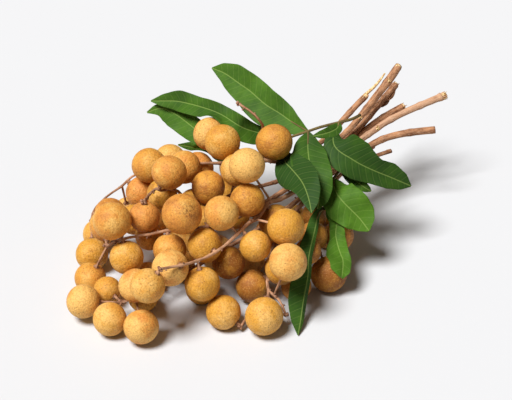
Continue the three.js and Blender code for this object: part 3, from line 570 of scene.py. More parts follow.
@dataclass(frozen=True)
class HiddenFruit:
    """The rule for the fruit inside and behind, in mm.

    A fruit is tried beside a random wood point of the zone. It is kept where its space to the
    other fruit lies between two limits, the wood is clear, and most spots of its picture lie
    behind seen fruit. The spots are its middle and two rings.
    """

    most: int = 26
    tries: int = 9000
    zone: tuple = (-125, 62)
    radius: tuple = (10.6, 2.0)
    distance: tuple = (2.5, 16.0)
    floor_share: float = 1.5
    fruit_space: tuple = (0.5, 9.0)
    wood_space: float = 0.9
    rings: tuple = (0.85, 0.45)
    spots: int = 12
    covered: int = 20
    cover_share: float = 0.98

    def _wish(self, wood: Array, draw: Draw, rest: float) -> tuple[Array, float]:
        """Draws a place and a size.

        Args:
            wood: The wood points that it may hang beside.
            draw: The row of random numbers.
            rest: A lying fruit's height over its radius.

        Returns:
            The centre and the radius.
        """
        foot = wood[int(draw.next() * len(wood))]
        radius = self.radius[0] + self.radius[1] * draw.next()
        turn = draw.next() * 2 * math.pi
        rise = 2 * draw.next() - 1
        flat = math.sqrt(1 - rise * rise)
        way = np.array([math.cos(turn) * flat, math.sin(turn) * flat, rise])
        centre = foot + way * (radius + self.distance[0] + self.distance[1] * draw.next())
        if centre[2] < self.floor_share * radius:
            centre[2] = rest * radius
        return centre, radius

    def fill(self, heap: Heap, wires: Wires) -> None:
        """Adds the hidden fruit to the heap.

        Args:
            heap: The seen fruit.
            wires: The stems and twigs laid so far.
        """
        draw = Draw()
        ring = np.stack([np.cos(angles(self.spots)), np.sin(angles(self.spots))], axis=1)
        spots = np.vstack([[[0.0, 0.0]], ring * self.rings[0], ring * self.rings[1]])
        seen_u, seen_v, seen_depth = PLANE.seen_at(heap.centres)
        seen_r = heap.radii / PLANE.mm_per_unit * PLANE.distance / (PLANE.distance - seen_depth)
        wood = wires.points[(wires.points[:, 0] > self.zone[0]) & (wires.points[:, 0] < self.zone[1])]
        full = len(heap.centres) + self.most
        for _ in range(self.tries):
            if len(heap.centres) >= full:
                break
            centre, radius = self._wish(wood, draw, heap.rest)
            space = heap.space(centre) - radius
            if space < self.fruit_space[0] or space > self.fruit_space[1]:
                continue
            if wires.space(centre) - radius < self.wood_space:
                continue
            u, v, depth = PLANE.seen_at(centre)
            at = np.array([u, v]) + spots * radius / PLANE.mm_per_unit
            far = (seen_u[None] - at[:, :1]) ** 2 + (seen_v[None] - at[:, 1:]) ** 2
            behind = ((far < (self.cover_share * seen_r) ** 2) & (seen_depth > depth)).any(1).sum()
            if behind >= self.covered:
                heap.centres = np.vstack([heap.centres, centre])
                heap.radii = np.append(heap.radii, radius)


def cubic(a: Array, b: Array, c: Array, d: Array, t: Array) -> Array:
    """Draws the cubic from b to c whose end slopes are half the ways from a to c and b to d."""
    curve = 2 * b + (c - a) * t + (2 * a - 5 * b + 4 * c - d) * t**2
    return 0.5 * (curve + (3 * b - a - 3 * c + d) * t**3)


def spline(points: Array, step: float) -> Array:
    """Draws a smooth line through points: a cubic for each span, cut to pieces of about one step.

    Args:
        points: The points to pass through.
        step: Wished length of a piece.

    Returns:
        Points along the line.
    """
    p = np.asarray(points, float)
    q = np.vstack([2 * p[0] - p[1], p, 2 * p[-1] - p[-2]])
    spans = []
    for a, b, c, d in zip(q[:-3], q[1:-2], q[2:-1], q[3:]):
        count = max(1, math.floor(np.linalg.norm(c - b) / step + 0.5))
        spans.append(cubic(a, b, c, d, (np.arange(count) / count)[:, None]))
    return np.vstack(spans + [p[-1:]])


def lengths_along(points: Array) -> Array:
    """Gives each point's distance from the first, along the line."""
    return np.concatenate([[0], np.cumsum(np.linalg.norm(np.diff(points, axis=0), axis=1))])


def resample(points: Array, count: int) -> Array:
    """Cuts a line into count pieces of even length."""
    s = lengths_along(points)
    return np.stack([np.interp(np.linspace(0, s[-1], count + 1), s, row) for row in points.T], axis=1)


@dataclass
class Route:
    """A grown length of wood: points and radii in mm, and the fruit at its end or -1."""

    points: Array
    radii: Array
    fruit: int = -1

    def drawn(self, step: float) -> tuple[Array, Array]:
        """Draws the route smoothly.

        Args:
            step: Wished spacing of its points, in mm.

        Returns:
            Its points, and its radius at each.
        """
        points = spline(self.points, step)
        shares = np.linspace(0, 1, len(self.radii))
        return points, np.interp(np.linspace(0, 1, len(points)), shares, self.radii)


def pushes(points: Array, centres: Array, need: Array) -> tuple[Array, Array]:
    """Sums how far points must move to be clear of round obstacles.

    Args:
        points: Points to clear.
        centres: Obstacle centres.
        need: Wished distance from each centre, one row for a point.

    Returns:
        The summed push on each point and how many obstacles push it.
    """
    d = points[:, None] - centres[None]
    length = np.linalg.norm(d, axis=2) + TINY
    short = np.maximum(need - length, 0)
    return (d * (short / length)[:, :, None]).sum(1), (short > 0).sum(1)


def span_distances(points: Array, starts: Array, ends: Array) -> Array:
    """Gives the distance of every point from every straight span.

    Args:
        points: The points.
        starts: Span starts, one row each.
        ends: Span ends.

    Returns:
        A table with a row for each span and a column for each point.
    """
    d = ends - starts
    square = np.maximum((d**2).sum(1), TINY)[:, None]
    t = ((points[None] - starts[:, None]) * d[:, None]).sum(2) / square
    nearest = starts[:, None] + np.clip(t, 0, 1)[:, :, None] * d[:, None]
    return np.linalg.norm(points[None] - nearest, axis=2)


@dataclass(frozen=True)
class Slide:
    """How a route is slid off the fruit and off the wood laid before it.

    Each round smooths the route, draws it a little to its home by the hold, and pushes it out
    until it keeps the gap. The last rounds smooth it less, so that it ends clear.
    """

    rounds: int
    gap: float
    hold: float
    smooth: float = 0.3
    last_smooth: float = 0.05
    last_rounds: int = 30
    passes: int = 2
    give: float = 0.7

    def clear(self, home: Array, radii: Array, heap: Heap, wires: Wires, end_held: bool = False) -> Array:
        """Slides a route clear. Its first point stays.

        Args:
            home: The wished route.
            radii: Its radii.
            heap: The fruit to clear.
            wires: The wood to clear.
            end_held: Whether its last point is drawn all the way home each round.

        Returns:
            The cleared route.
        """
        p = home.copy()
        free = np.ones((len(p), 1))
        free[0] = 0
        hold = np.full((len(p), 1), self.hold)
        if end_held:
            hold[-1] = 1
        fruit_need = heap.radii[None] + radii[:, None] + self.gap
        wire_need = wires.radii[None] + radii[:, None] + self.gap
        for k in range(self.rounds):
            smooth = self.smooth if k < self.rounds - self.last_rounds else self.last_smooth
            move = (home - p) * hold
            move[1:-1] += (0.5 * (p[:-2] + p[2:]) - p[1:-1]) * smooth
            p = p + move * free
            for _ in range(self.passes):
                push, _count = pushes(p, heap.centres, fruit_need)
                other, count = pushes(p, wires.points, wire_need)
                push = push + other / np.sqrt(np.maximum(count, 1))[:, None]
                p = p + self.give * push * free
            p[:, 2] = np.maximum(p[:, 2], radii + FLOOR_CLEAR)
        return p


@dataclass(frozen=True)
class StalkRule:
    """How a fruit's stalk is chosen and grown, in mm.

    A stalk's price is its length, with a charge for running into other fruit or wood; wood near
    its root isn't counted. The cheapest choices are grown in turn until one has space enough. A
    fruit may also hang from another fruit's stalk, on its lower share, at a small extra price.
    """

    radius: float = 0.8
    fruit_margin: float = 0.5
    wood_margin: float = 0.4
    root_reach: float = 7.0
    fruit_charge: float = 1.2
    wood_charge: float = 0.8
    longest: float = 60.0
    too_dear: float = 999.0
    choices: int = 14
    enough: float = 0.3
    depth: float = 2.2
    spacing: float = 5.0
    clear_from: float = 6.5
    rind_gap: float = 0.3
    slide: Slide = Slide(60, 0.5, 0.02)
    stalk_charge: float = 2.0
    stalk_share: float = 0.6
    zone: tuple = (66, 75)

    def prices(self, heap: Heap, tree: Wires, fruit: int, spots: Array) -> Array:
        """Prices a stalk to a fruit from each of some wood points.

        Args:
            heap: The fruit.
            tree: The wood.
            fruit: The fruit's number.
            spots: Numbers of the wood points.

        Returns:
            A price for each wood point.
        """
        starts = tree.points[spots]
        d = heap.centres[fruit] - starts
        length = np.linalg.norm(d, axis=1)
        ends = heap.centres[fruit] - d / length[:, None] * heap.radii[fruit]
        apart = span_distances(heap.centres, starts, ends)
        inside = np.maximum(heap.radii[None] + self.radius + self.fruit_margin - apart, 0)
        inside[:, fruit] = 0
        apart = span_distances(tree.points, starts, ends)
        crossed = np.maximum(tree.radii[None] + self.radius + self.wood_margin - apart, 0)
        root = np.linalg.norm(tree.points[None] - starts[:, None], axis=2) < self.root_reach
        crossed = np.where(root, 0, crossed).max(1)
        bare = length - heap.radii[fruit]
        price = bare + self.fruit_charge * inside.sum(1) + self.wood_charge * crossed
        return np.where(bare > self.longest, self.too_dear, price)

    def cheapest(self, priced: list) -> list:
        """Keeps the cheapest few of some pairs of price and wood point."""
        return sorted(priced)[: self.choices]

    def reach(self, heap: Heap, tree: Wires, fruit: int, spot: int) -> tuple[float, Route]:
        """Grows a stalk from a wood point to a fruit.

        Args:
            heap: The fruit.
            tree: The wood.
            fruit: The fruit's number.
            spot: The wood point's number.

        Returns:
            The least space around the stalk, and the stalk.
        """
        centre, radius = heap.centres[fruit], heap.radii[fruit]
        start = tree.points[spot]
        end = centre - unit(centre - start) * (radius - self.depth)
        count = max(2, math.floor(np.linalg.norm(end - start) / self.spacing + 0.5) + 1)
        points = start + (end - start) * np.linspace(0, 1, count)[:, None]
        radii = np.full(count, self.radius)
        others = heap.without(fruit)
        wood = tree.beyond(start, self.clear_from)
        if count > 2:
            points = self.slide.clear(points, radii, others, wood, end_held=True)
            points[-1] = end
            inner = points[1 : count - 2]
            d = inner - centre
            length = np.linalg.norm(d, axis=1, keepdims=True)
            short = np.maximum(radius + self.radius + self.rind_gap - length, 0)
            points[1 : count - 2] = inner + d / length * short
        gap = (span_distances(others.centres, points[:-1], points[1:]) - others.radii).min()
        if len(wood.points):
            gap = min(gap, (span_distances(wood.points, points[:-1], points[1:]) - wood.radii).min())
        return gap - self.radius, Route(points, radii, fruit)


@dataclass
class Branchwork:
    """All the woody branches: their routes, and the stalk of every fruit.

    A stem narrows from its cut end to its tip by a power of its length, and is at its narrowest
    before the tip. A twig isn't pushed by wood near its fork.
    """

    heap: Heap
    wires: Wires = field(default_factory=Wires)
    routes: list = field(default_factory=list)
    stalks: list = field(default_factory=list)
    stem_drape: float = 1.2
    twig_drape: float = 1.0
    taper_reach: float = 1.15
    taper_power: float = 1.25
    fork_reach: float = 9.0
    slide: Slide = Slide(160, 0.6, 0.02)
    rule: StalkRule = StalkRule()

    def lay_branches(self) -> None:
        """Lays the stems and their twigs clear of the fruit and of each other."""
        for number, stem in enumerate(BRANCHES):
            home = spline([self.heap.drape(way, self.stem_drape) for way in stem.way], STEP)
            share = np.minimum(self.taper_reach * np.linspace(0, 1, len(home)), 1) ** self.taper_power
            radii = stem.start + (stem.end - stem.start) * share
            points = self.slide.clear(home, radii, self.heap, self.wires)
            self.wires.lay(points, radii, number)
            self.routes.append([Route(points, radii)])
        for twig in TWIGS:
            ways = np.array([self.heap.drape(way, self.twig_drape) for way in twig.way])
            tree = np.vstack([route.points for route in self.routes[twig.branch]])
            ways[0] = tree[np.linalg.norm(tree - ways[0], axis=1).argmin()]
            home = spline(ways, STEP)
            radii = np.linspace(twig.start, twig.end, len(home))
            others = self.wires.beyond(ways[0], self.fork_reach)
            points = self.slide.clear(home, radii, self.heap, others)
            self.wires.lay(points[1:], radii[1:], twig.branch)
            self.routes[twig.branch].append(Route(points, radii))

    def _priced(self, fruit: int, spots: Array, extra: float = 0.0) -> list:
        """Pairs the price of a fruit's stalk from each of some wood points with the point."""
        prices = self.rule.prices(self.heap, self.wires, fruit, spots) + extra
        return list(zip(prices.tolist(), spots.tolist()))

    def _grow(self, fruit: int, priced: list) -> Array:
        """Grows a fruit's stalk from the best of its choices.

        Args:
            fruit: The fruit's number.
            priced: Its choices, as pairs of price and wood point.

        Returns:
            Numbers of the stalk's points that another stalk may grow from.
        """
        chosen = None
        for _price, spot in priced:
            gap, route = self.rule.reach(self.heap, self.wires, fruit, spot)
            if chosen is None or gap > chosen[0]:
                chosen = (gap, route, int(self.wires.branch[spot]))
            if chosen[0] > self.rule.enough:
                break
        _gap, route, branch = chosen
        self.stalks.append((branch, route))
        start = len(self.wires.points)
        self.wires.lay(route.points[1:], route.radii[1:], branch)
        count = len(route.points)
        fresh = max(2, int(count * self.rule.stalk_share)) - 1 if count > 3 else 0
        return start + np.arange(fresh)

    def grow_stalks(self) -> None:
        """Joins each fruit to the nearest wood that it can reach, the nearest fruit first."""
        across, back = self.rule.zone
        spots = np.flatnonzero((self.wires.points[:, 0] < across) & (self.wires.points[:, 1] < back))
        best = {}
        for fruit in range(len(self.heap.centres)):
            best[fruit] = self.rule.cheapest(self._priced(fruit, spots))
        while best:
            fruit = min(best, key=lambda k: (best[k][0][0], k))
            fresh = self._grow(fruit, best.pop(fruit))
            if len(fresh):
                for other in best:
                    priced = self._priced(other, fresh, self.rule.stalk_charge)
                    best[other] = self.rule.cheapest(best[other] + priced)


@dataclass
class Foliage:
    """The compound leaves: their plans, stalk routes and cleared blades, in mm.

    A blade keeps its space to the fruit, the wood and the blades laid before, apart from those of
    its own compound leaf near its foot.
    """

    heap: Heap
    wires: Wires
    stalks: list = field(default_factory=list)
    slide: Slide = Slide(120, 0.7, 0.05)
    fine: float = 2.0
    calm_end: float = 4.0
    wave_lag: float = 2.1
    rounds: int = 70
    smooth_rounds: int = 60
    smooth: float = 0.5
    reach: float = 75.0
    close: float = 3.0
    foot_reach: float = 16.0
    fruit_gap: float = 1.1
    wood_gap: float = 1.5
    blade_gap: float = 1.6
    floor_gap: float = 0.15

    def _spread(self, leaf: Leaf, foot: Array) -> Array:
        """Spreads a leaf's blade along its way.

        A row lies across the way, square to the sight line: its points stand at shares of the
        half width, turned by the fold, and lifted at the margins by a sine wave that dies out at
        both ends.

        Args:
            leaf: The leaf.
            foot: Where it grows from.

        Returns:
            Points in a grid, ALONG + 1 by ACROSS + 1.
        """
        ways = np.array([PLANE.at_height(*way) for way in leaf.way])
        ways[0] = foot
        middle = resample(spline(ways, self.fine), ALONG)
        numbers = np.arange(ALONG + 1)
        run = unit(middle[np.minimum(numbers + 1, ALONG)] - middle[np.maximum(numbers - 1, 0)])
        side = unit(np.cross(run, PLANE.near))
        normal = np.cross(side, run)
        t = (numbers / ALONG)[:, None]
        w = np.linspace(-1, 1, ACROSS + 1)[None]
        right = w > 0
        half = np.where(right, np.interp(t, STATIONS, leaf.right), np.interp(t, STATIONS, leaf.left))
        half = half * PLANE.mm_per_unit
        fold = np.radians(np.where(right, leaf.fold[1], leaf.fold[0]))
        calm = np.minimum(1, np.minimum(self.calm_end * t, self.calm_end * (1 - t)))
        phase = 2 * math.pi * leaf.waves * t + np.where(right, 0, self.wave_lag)
        lift = np.abs(w) * half * np.sin(fold) + leaf.height * w**2 * np.sin(phase) * calm
        out = (w * half * np.cos(fold))[:, :, None] * side[:, None]
        return middle[:, None] + out + lift[:, :, None] * normal[:, None]

    def _clear(self, home: Array, obstacles: Array, needs: Array) -> Array:
        """Pushes a leaf off what is laid before it, and keeps it smooth.

        Each round smooths how far the points have moved, then pushes every point out of each
        obstacle in turn. The foot stays, and the last rounds only push.

        Args:
            home: The wished grid.
            obstacles: Centres to clear.
            needs: Wished distance from each centre.

        Returns:
            The cleared grid.
        """
        near = np.linalg.norm(obstacles - home[ALONG // 2, ACROSS // 2], axis=1) < self.reach + needs
        obstacles, needs = obstacles[near], needs[near]
        count = np.full(home.shape[:2], 4.0)
        count[[0, -1]] -= 1
        count[:, [0, -1]] -= 1
        grid = home.copy()
        for k in range(self.rounds):
            moved = grid - home
            total = np.zeros_like(moved)
            total[1:] += moved[:-1]
            total[:-1] += moved[1:]
            total[:, 1:] += moved[:, :-1]
            total[:, :-1] += moved[:, 1:]
            smooth = self.smooth if k < self.smooth_rounds else 0
            q = grid + (total / count[:, :, None] - moved) * smooth
            flat = q.reshape(-1, 3)
            reach = np.linalg.norm(flat[:, None] - obstacles[None], axis=2).min(0) - needs
            for number in np.flatnonzero(reach < self.close):
                d = q - obstacles[number]
                length = np.linalg.norm(d, axis=2, keepdims=True) + TINY
                q = q + d / length * np.maximum(needs[number] - length, 0)
            q[:, :, 2] = np.maximum(q[:, :, 2], BLADE / 2 + self.floor_gap)
            q[0] = grid[0]
            grid = q
        return grid

    def grow(self) -> None:
        """Lays each leaf stalk and its leaves over the wood and the fruit."""
        laid = np.zeros((0, 3))
        fruit_needs = self.heap.radii + BLADE / 2 + self.fruit_gap
        wood_needs = self.wires.radii + BLADE / 2 + self.wood_gap
        for plan in LEAF_STALKS:
            home = spline([PLANE.at_height(*way) for way in plan.stalk], STEP)
            radii = np.linspace(plan.radius[0], plan.radius[1], len(home))
            around = Wires(self.wires.points, self.wires.radii, self.wires.branch)
            around.lay(laid, np.full(len(laid), BLADE / 2), -1)
            route = self.slide.clear(home, radii, self.heap, around)
            own = np.zeros((0, 3))
            blades = []
            for leaf in plan.leaves:
                wish = PLANE.at_height(*leaf.way[0])
                foot = route[np.linalg.norm(route - wish, axis=1).argmin()]
                apart = own[np.linalg.norm(own - foot, axis=1) > self.foot_reach]
                obstacles = np.vstack([self.heap.centres, self.wires.points, laid, apart])
                blade_needs = np.full(len(laid) + len(apart), BLADE + self.blade_gap)
                needs = np.concatenate([fruit_needs, wood_needs, blade_needs])
                grid = self._clear(self._spread(leaf, foot), obstacles, needs)
                own = np.vstack([own, grid.reshape(-1, 3)])
                blades.append(grid)
            laid = np.vstack([laid, own, route])
            self.stalks.append((plan, Route(route, radii), blades))


class Nodes:
    """Builds one finish's shader nodes."""

    # a Mix node's colour inputs and its colour output
    COLOURS = (6, 7)
    MIXED = 2

    def __init__(self, name: str) -> None:
        """Starts a material whose tree holds only a shader and its output.

        Args:
            name: The material's name.
        """
        self.material = bpy.data.materials.new(name)
        self.material.use_nodes = True
        self.tree = self.material.node_tree
        self.tree.nodes.clear()
        self.shader = self.tree.nodes.new("ShaderNodeBsdfPrincipled")
        output = self.tree.nodes.new("ShaderNodeOutputMaterial")
        self.feed(output, {"Surface": self.shader.outputs["BSDF"]})

    def feed(self, node: bpy.types.Node, inputs: dict) -> None:
        """Links or sets a node's inputs.

        Args:
            node: The node.
            inputs: A socket or a plain value for each input, by its name or number.
        """
        for key, value in inputs.items():
            if isinstance(value, Socket):
                self.tree.links.new(value, node.inputs[key])
            else:
                node.inputs[key].default_value = value

    def node(self, kind: str, inputs: dict, output: str | int, **settings: str) -> Socket:
        """Adds a node.

        Args:
            kind: Its type, after "ShaderNode".
            inputs: A socket or a plain value for each input, by its name or number.
            output: The output that is read, by its name or number.
            **settings: Its settings, by their names.

        Returns:
            The output.
        """
        node = self.tree.nodes.new("ShaderNode" + kind)
        for name, value in settings.items():
            setattr(node, name, value)
        self.feed(node, inputs)
        return node.outputs[output]

    def math(self, operation: str, a: Socket | float, b: Socket | float = 0.0) -> Socket:
        """Works out one operation on one or two values."""
        return self.node("Math", {0: a, 1: b}, 0, operation=operation)

    def plus(self, a: Socket | float, b: Socket | float) -> Socket:
        """Adds two values."""
        return self.math("ADD", a, b)

    def times(self, a: Socket | float, b: Socket | float) -> Socket:
        """Multiplies two values."""
        return self.math("MULTIPLY", a, b)

    def attribute(self, name: str, output: str = "Fac") -> Socket:
        """Reads what is kept on the mesh: one number by Fac, three by Vector."""
        return self.node("Attribute", {}, output, attribute_name=name)

    def place(self) -> Socket:
        """Reads the place on the object, in metres."""
        return self.node("TexCoord", {}, "Object")

    def noise(self, scale: float, detail: float = 3, rough: float = 0.5, over: Socket = None) -> Socket:
        """Adds noise, about from 0.3 to 0.7, over the object or over other places."""
        inputs = {"Vector": over or self.place(), "Scale": scale, "Detail": detail, "Roughness": rough}
        return self.node("TexNoise", inputs, "Fac")

    def cells(self, scale: float) -> Socket:
        """Adds uneven cells over the object, as the distance from their middles."""
        return self.node("TexVoronoi", {"Vector": self.place(), "Scale": scale}, "Distance")

    def span(self, value: Socket, low: float, high: float, a: float = 0.0, b: float = 1.0) -> Socket:
        """Turns low to high into a to b, with soft ends."""
        inputs = dict(enumerate((value, low, high, a, b)))
        return self.node("MapRange", inputs, "Result", interpolation_type="SMOOTHSTEP")

    def mix(self, share: Socket, a: Socket | tuple, b: Socket | tuple) -> Socket:
        """Mixes two colours, by the share of the second."""
        pair = [colour if isinstance(colour, Socket) else (*colour, 1.0) for colour in (a, b)]
        return self.node("Mix", {0: share, **dict(zip(self.COLOURS, pair))}, self.MIXED, data_type="RGBA")

    def finish(
        self, colour: Socket | tuple, rough: float, shine: float, height: Socket = None, bump: tuple = ()
    ) -> Material:
        """Sets the surface's colour, shine and roughening.

        Args:
            colour: Its colour.
            rough: How dull it is.
            shine: How strongly it shines.
            height: What roughens it, or None where it is smooth.
            bump: The strength of the roughening and its depth in metres.

        Returns:
            The material.
        """
        if height is not None:
            inputs = {"Height": height, "Strength": bump[0], "Distance": bump[1]}
            self.feed(self.shader, {"Normal": self.node("Bump", inputs, "Normal")})
        self.feed(self.shader, {"Base Color": colour, "Roughness": rough, "Specular IOR Level": shine})
        return self.material


@dataclass(frozen=True)
class RindFinish:
    """Dry tan longan rind: a fine net of browner lines round yellower grains, with blotches.

    The grains are cells of about 1 mm. Tone moves a fruit from pale yellow to brown, partly as its
    own colour and partly as painted shade on fruit that lie in shade; warm moves it from yellow to
    peach, and scar is a dark speckled patch.
    """

    pale: tuple = (0.80, 0.46, 0.125)
    tan: tuple = (0.65, 0.31, 0.034)
    peach: tuple = (0.68, 0.27, 0.052)
    # the brown of the darkest fruit: partly their own colour, partly painted shade
    brown_and_shade: tuple = (0.28, 0.092, 0.011)
    net: tuple = (0.27, 0.09, 0.010)
    dots: tuple = (0.17, 0.060, 0.012)
    scar: tuple = (0.12, 0.040, 0.012)
    crown: tuple = (0.22, 0.09, 0.03)
    grain_scale: float = 900.0
    dot_scale: float = 470.0
    net_strength: float = 0.36
    dust_strength: float = 0.30
    dot_strength: float = 0.52
    scar_strength: float = 0.75

    def material(self) -> Material:
        """Builds the finish.

        Returns:
            The material.
        """
        n = Nodes("longan_rind")
        patches = n.math("SUBTRACT", n.noise(80.0, 4.0, 0.62), 0.5)
        # tone, and the brown that follows it, is partly painted shade on fruit that lie in shade
        shade = n.plus(n.attribute("tone"), n.times(patches, 1.9))
        hue = n.span(n.plus(n.attribute("warm"), n.times(patches, 1.2)), 0.2, 0.8)
        base = n.mix(n.span(shade, 0.0, 0.5), self.pale, n.mix(hue, self.tan, self.peach))
        base = n.mix(n.span(shade, 0.45, 1.15), base, self.brown_and_shade)
        grains = n.cells(self.grain_scale)
        fine = n.times(n.noise(1300.0, 3.0, 0.7), 0.5)
        base = n.mix(n.span(n.plus(grains, fine), 0.5, 1.1, 0.0, self.net_strength), base, self.net)
        dusty = n.span(n.noise(1000.0, 2.0, 0.6), 0.52, 0.66, 0.0, self.dust_strength)
        base = n.mix(dusty, base, self.pale)
        dots = n.span(n.cells(self.dot_scale), 0.12, 0.30, self.dot_strength, 0.0)
        base = n.mix(n.times(dots, n.span(n.noise(90.0), 0.36, 0.58, 0.25)), base, self.dots)
        speckles = n.span(n.noise(700.0, 4.0, 0.75), 0.46, 0.60, 0.22, 1.0)
        worn = n.times(n.times(n.attribute("scar"), speckles), self.scar_strength)
        base = n.mix(worn, base, self.scar)
        base = n.mix(n.span(n.attribute("crown"), 0.955, 0.995, 0.0, 0.7), base, self.crown)
        return n.finish(base, 0.6, 0.3, n.plus(n.times(grains, -1.0), fine), (0.75, 0.00035))


@dataclass(frozen=True)
class BarkFinish:
    """Pinkish brown bark with pale and dark streaks along it, and browner thin twigs.

    Tone makes a branch paler, and bleaches a thick one in patches.
    """

    name: str = "bark"
    light: tuple = (0.50, 0.245, 0.12)
    dark: tuple = (0.165, 0.064, 0.028)
    pale: tuple = (0.64, 0.43, 0.29)
    thin_light: tuple = (0.52, 0.28, 0.155)
    thin_dark: tuple = (0.20, 0.088, 0.042)

    def material(self) -> Material:
        """Builds the finish.

        Returns:
            The material.
        """
        n = Nodes(self.name)
        lengthwise = n.attribute("grain", "Vector")
        grain = n.noise(0.75, 4.0, 0.7, lengthwise)
        patches = n.noise(150.0, 3.0, 0.6)
        mixed = n.plus(n.times(grain, 0.65), n.times(patches, 0.35))
        mixed = n.span(n.plus(mixed, n.attribute("tone")), 0.38, 0.6)
        thin = n.mix(mixed, self.thin_dark, self.thin_light)
        thick = n.mix(mixed, self.dark, self.light)
        base = n.mix(n.span(n.attribute("thick"), 1.0, 1.7), thin, thick)
        bleached = n.span(n.attribute("tone"), 0.0, 0.08, 0.0, 0.6)
        bleached = n.times(bleached, n.span(grain, 0.35, 0.65, 0.25))
        bleached = n.times(bleached, n.span(n.attribute("thick"), 1.3, 2.2))
        base = n.mix(bleached, base, self.pale)
        streaks = n.span(n.noise(1.9, 3.0, 0.7, lengthwise), 0.54, 0.66, 0.0, 0.55)
        base = n.mix(streaks, base, self.pale)
        return n.finish(base, 0.8, 0.2, grain, (0.8, 0.0006))


@dataclass(frozen=True)
class MottledFinish:
    """Two mottled colours, for the pale fresh wood of a torn end or a dry brown calyx."""

    name: str
    colours: tuple
    scales: tuple
    limits: tuple
    detail: float
    depth: float

    def material(self) -> Material:
        """Builds the finish.

        Returns:
            The material.
        """
        n = Nodes(self.name)
        mottle = n.span(n.noise(self.scales[0], self.detail), *self.limits)
        base = n.mix(mottle, *self.colours)
        return n.finish(base, 0.85, 0.2, n.noise(self.scales[1]), (0.6, self.depth))


CUT_WOOD = MottledFinish(
    "cut_wood", ((0.84, 0.66, 0.36), (0.50, 0.27, 0.09)), (700.0, 1500.0), (0.38, 0.62), 4.0, 0.0003
)
CALYX = MottledFinish(
    "calyx", ((0.13, 0.055, 0.028), (0.42, 0.22, 0.13)), (700.0, 1200.0), (0.35, 0.65), 3.0, 0.0004
)


@dataclass(frozen=True)
class Veins:
    """Where a blade's side veins run.

    A side vein leaves the midrib slanting to the tip and bends further as it goes: it lies where
    the distance along, less a slant times the distance across and a bend times its square, is a
    whole number and a half of spacings. Those on the right are shifted by a share of the spacing.
    Lengths are in mm.
    """

    spacing: float = 5.4
    slant: float = 0.5
    bend: float = 0.016
    shift: float = 0.42
    many: int = 200

    def run(self, along: Array, across: Array) -> Array:
        """Gives the length that is a whole number and a half of spacings on a vein."""
        off = np.abs(across)
        return along - self.slant * off - self.bend * off**2 + (across > 0) * self.spacing * self.shift

    def distance(self, n: Nodes, off: Socket) -> Socket:
        """Builds the distance from the nearest side vein.

        Args:
            n: The finish's nodes.
            off: The distance from the midrib.

        Returns:
            The distance in mm.
        """
        slant = n.plus(n.times(off, self.slant), n.times(n.times(off, off), self.bend))
        right = n.times(n.math("GREATER_THAN", n.attribute("across"), 0.0), self.spacing * self.shift)
        run = n.plus(n.math("SUBTRACT", n.attribute("along"), slant), right)
        above_zero = n.plus(run, self.many * self.spacing)
        share = n.math("FRACT", n.math("DIVIDE", above_zero, self.spacing))
        return n.times(n.math("ABSOLUTE", n.math("SUBTRACT", share, 0.5)), self.spacing)


@dataclass(frozen=True)
class LeafFinish:
    """Half-glossy green blade with a pale midrib and side veins."""

    part: LeafPart
    deep: tuple
    fresh: tuple
    vein: tuple
    roughness: float
    veins: Veins = Veins()

    def material(self) -> Material:
        """Builds the finish.

        Returns:
            The material.
        """
        n = Nodes("leaf_" + self.part.name.lower())
        off = n.math("ABSOLUTE", n.attribute("across"))
        far = self.veins.distance(n, off)
        veins = n.span(far, 0.08, 0.36, 1.0, 0.0)
        rib = n.span(off, 0.18, 0.52, 1.0, 0.0)
        patches = n.plus(n.noise(55.0, 4.0, 0.6), n.attribute("tone"))
        fine = n.noise(700.0, 3.0)
        base = n.mix(n.span(patches, 0.45, 1.25), self.deep, self.fresh)
        base = n.mix(n.span(fine, 0.45, 0.75, 0.0, 0.25), base, self.deep)
        spacing = self.veins.spacing
        base = n.mix(n.span(far, spacing * 0.2, spacing * 0.5, 0.0, 0.08), base, self.fresh)
        base = n.mix(n.times(veins, 0.13), base, self.vein)
        base = n.mix(n.times(rib, 0.42), base, self.vein)
        sink = n.times(n.math("MAXIMUM", n.times(veins, 0.6), rib), -self.part.side)
        return n.finish(base, self.roughness, 0.05, n.plus(sink, n.times(fine, 0.12)), (0.25, 0.0003))


UPPER_FACE = LeafFinish(
    LeafPart.UPPER, (0.024, 0.060, 0.012), (0.070, 0.160, 0.014), (0.30, 0.40, 0.10), 0.5
)
UNDER_FACE = LeafFinish(LeafPart.UNDER, (0.075, 0.14, 0.03), (0.12, 0.21, 0.045), (0.34, 0.40, 0.13), 0.6)
GREEN_STALK = BarkFinish(
    "leaf_stalk",
    light=(0.20, 0.145, 0.05),
    dark=(0.09, 0.062, 0.022),
    pale=(0.20, 0.145, 0.05),
    thin_light=(0.20, 0.145, 0.05),
    thin_dark=(0.09, 0.062, 0.022),
)


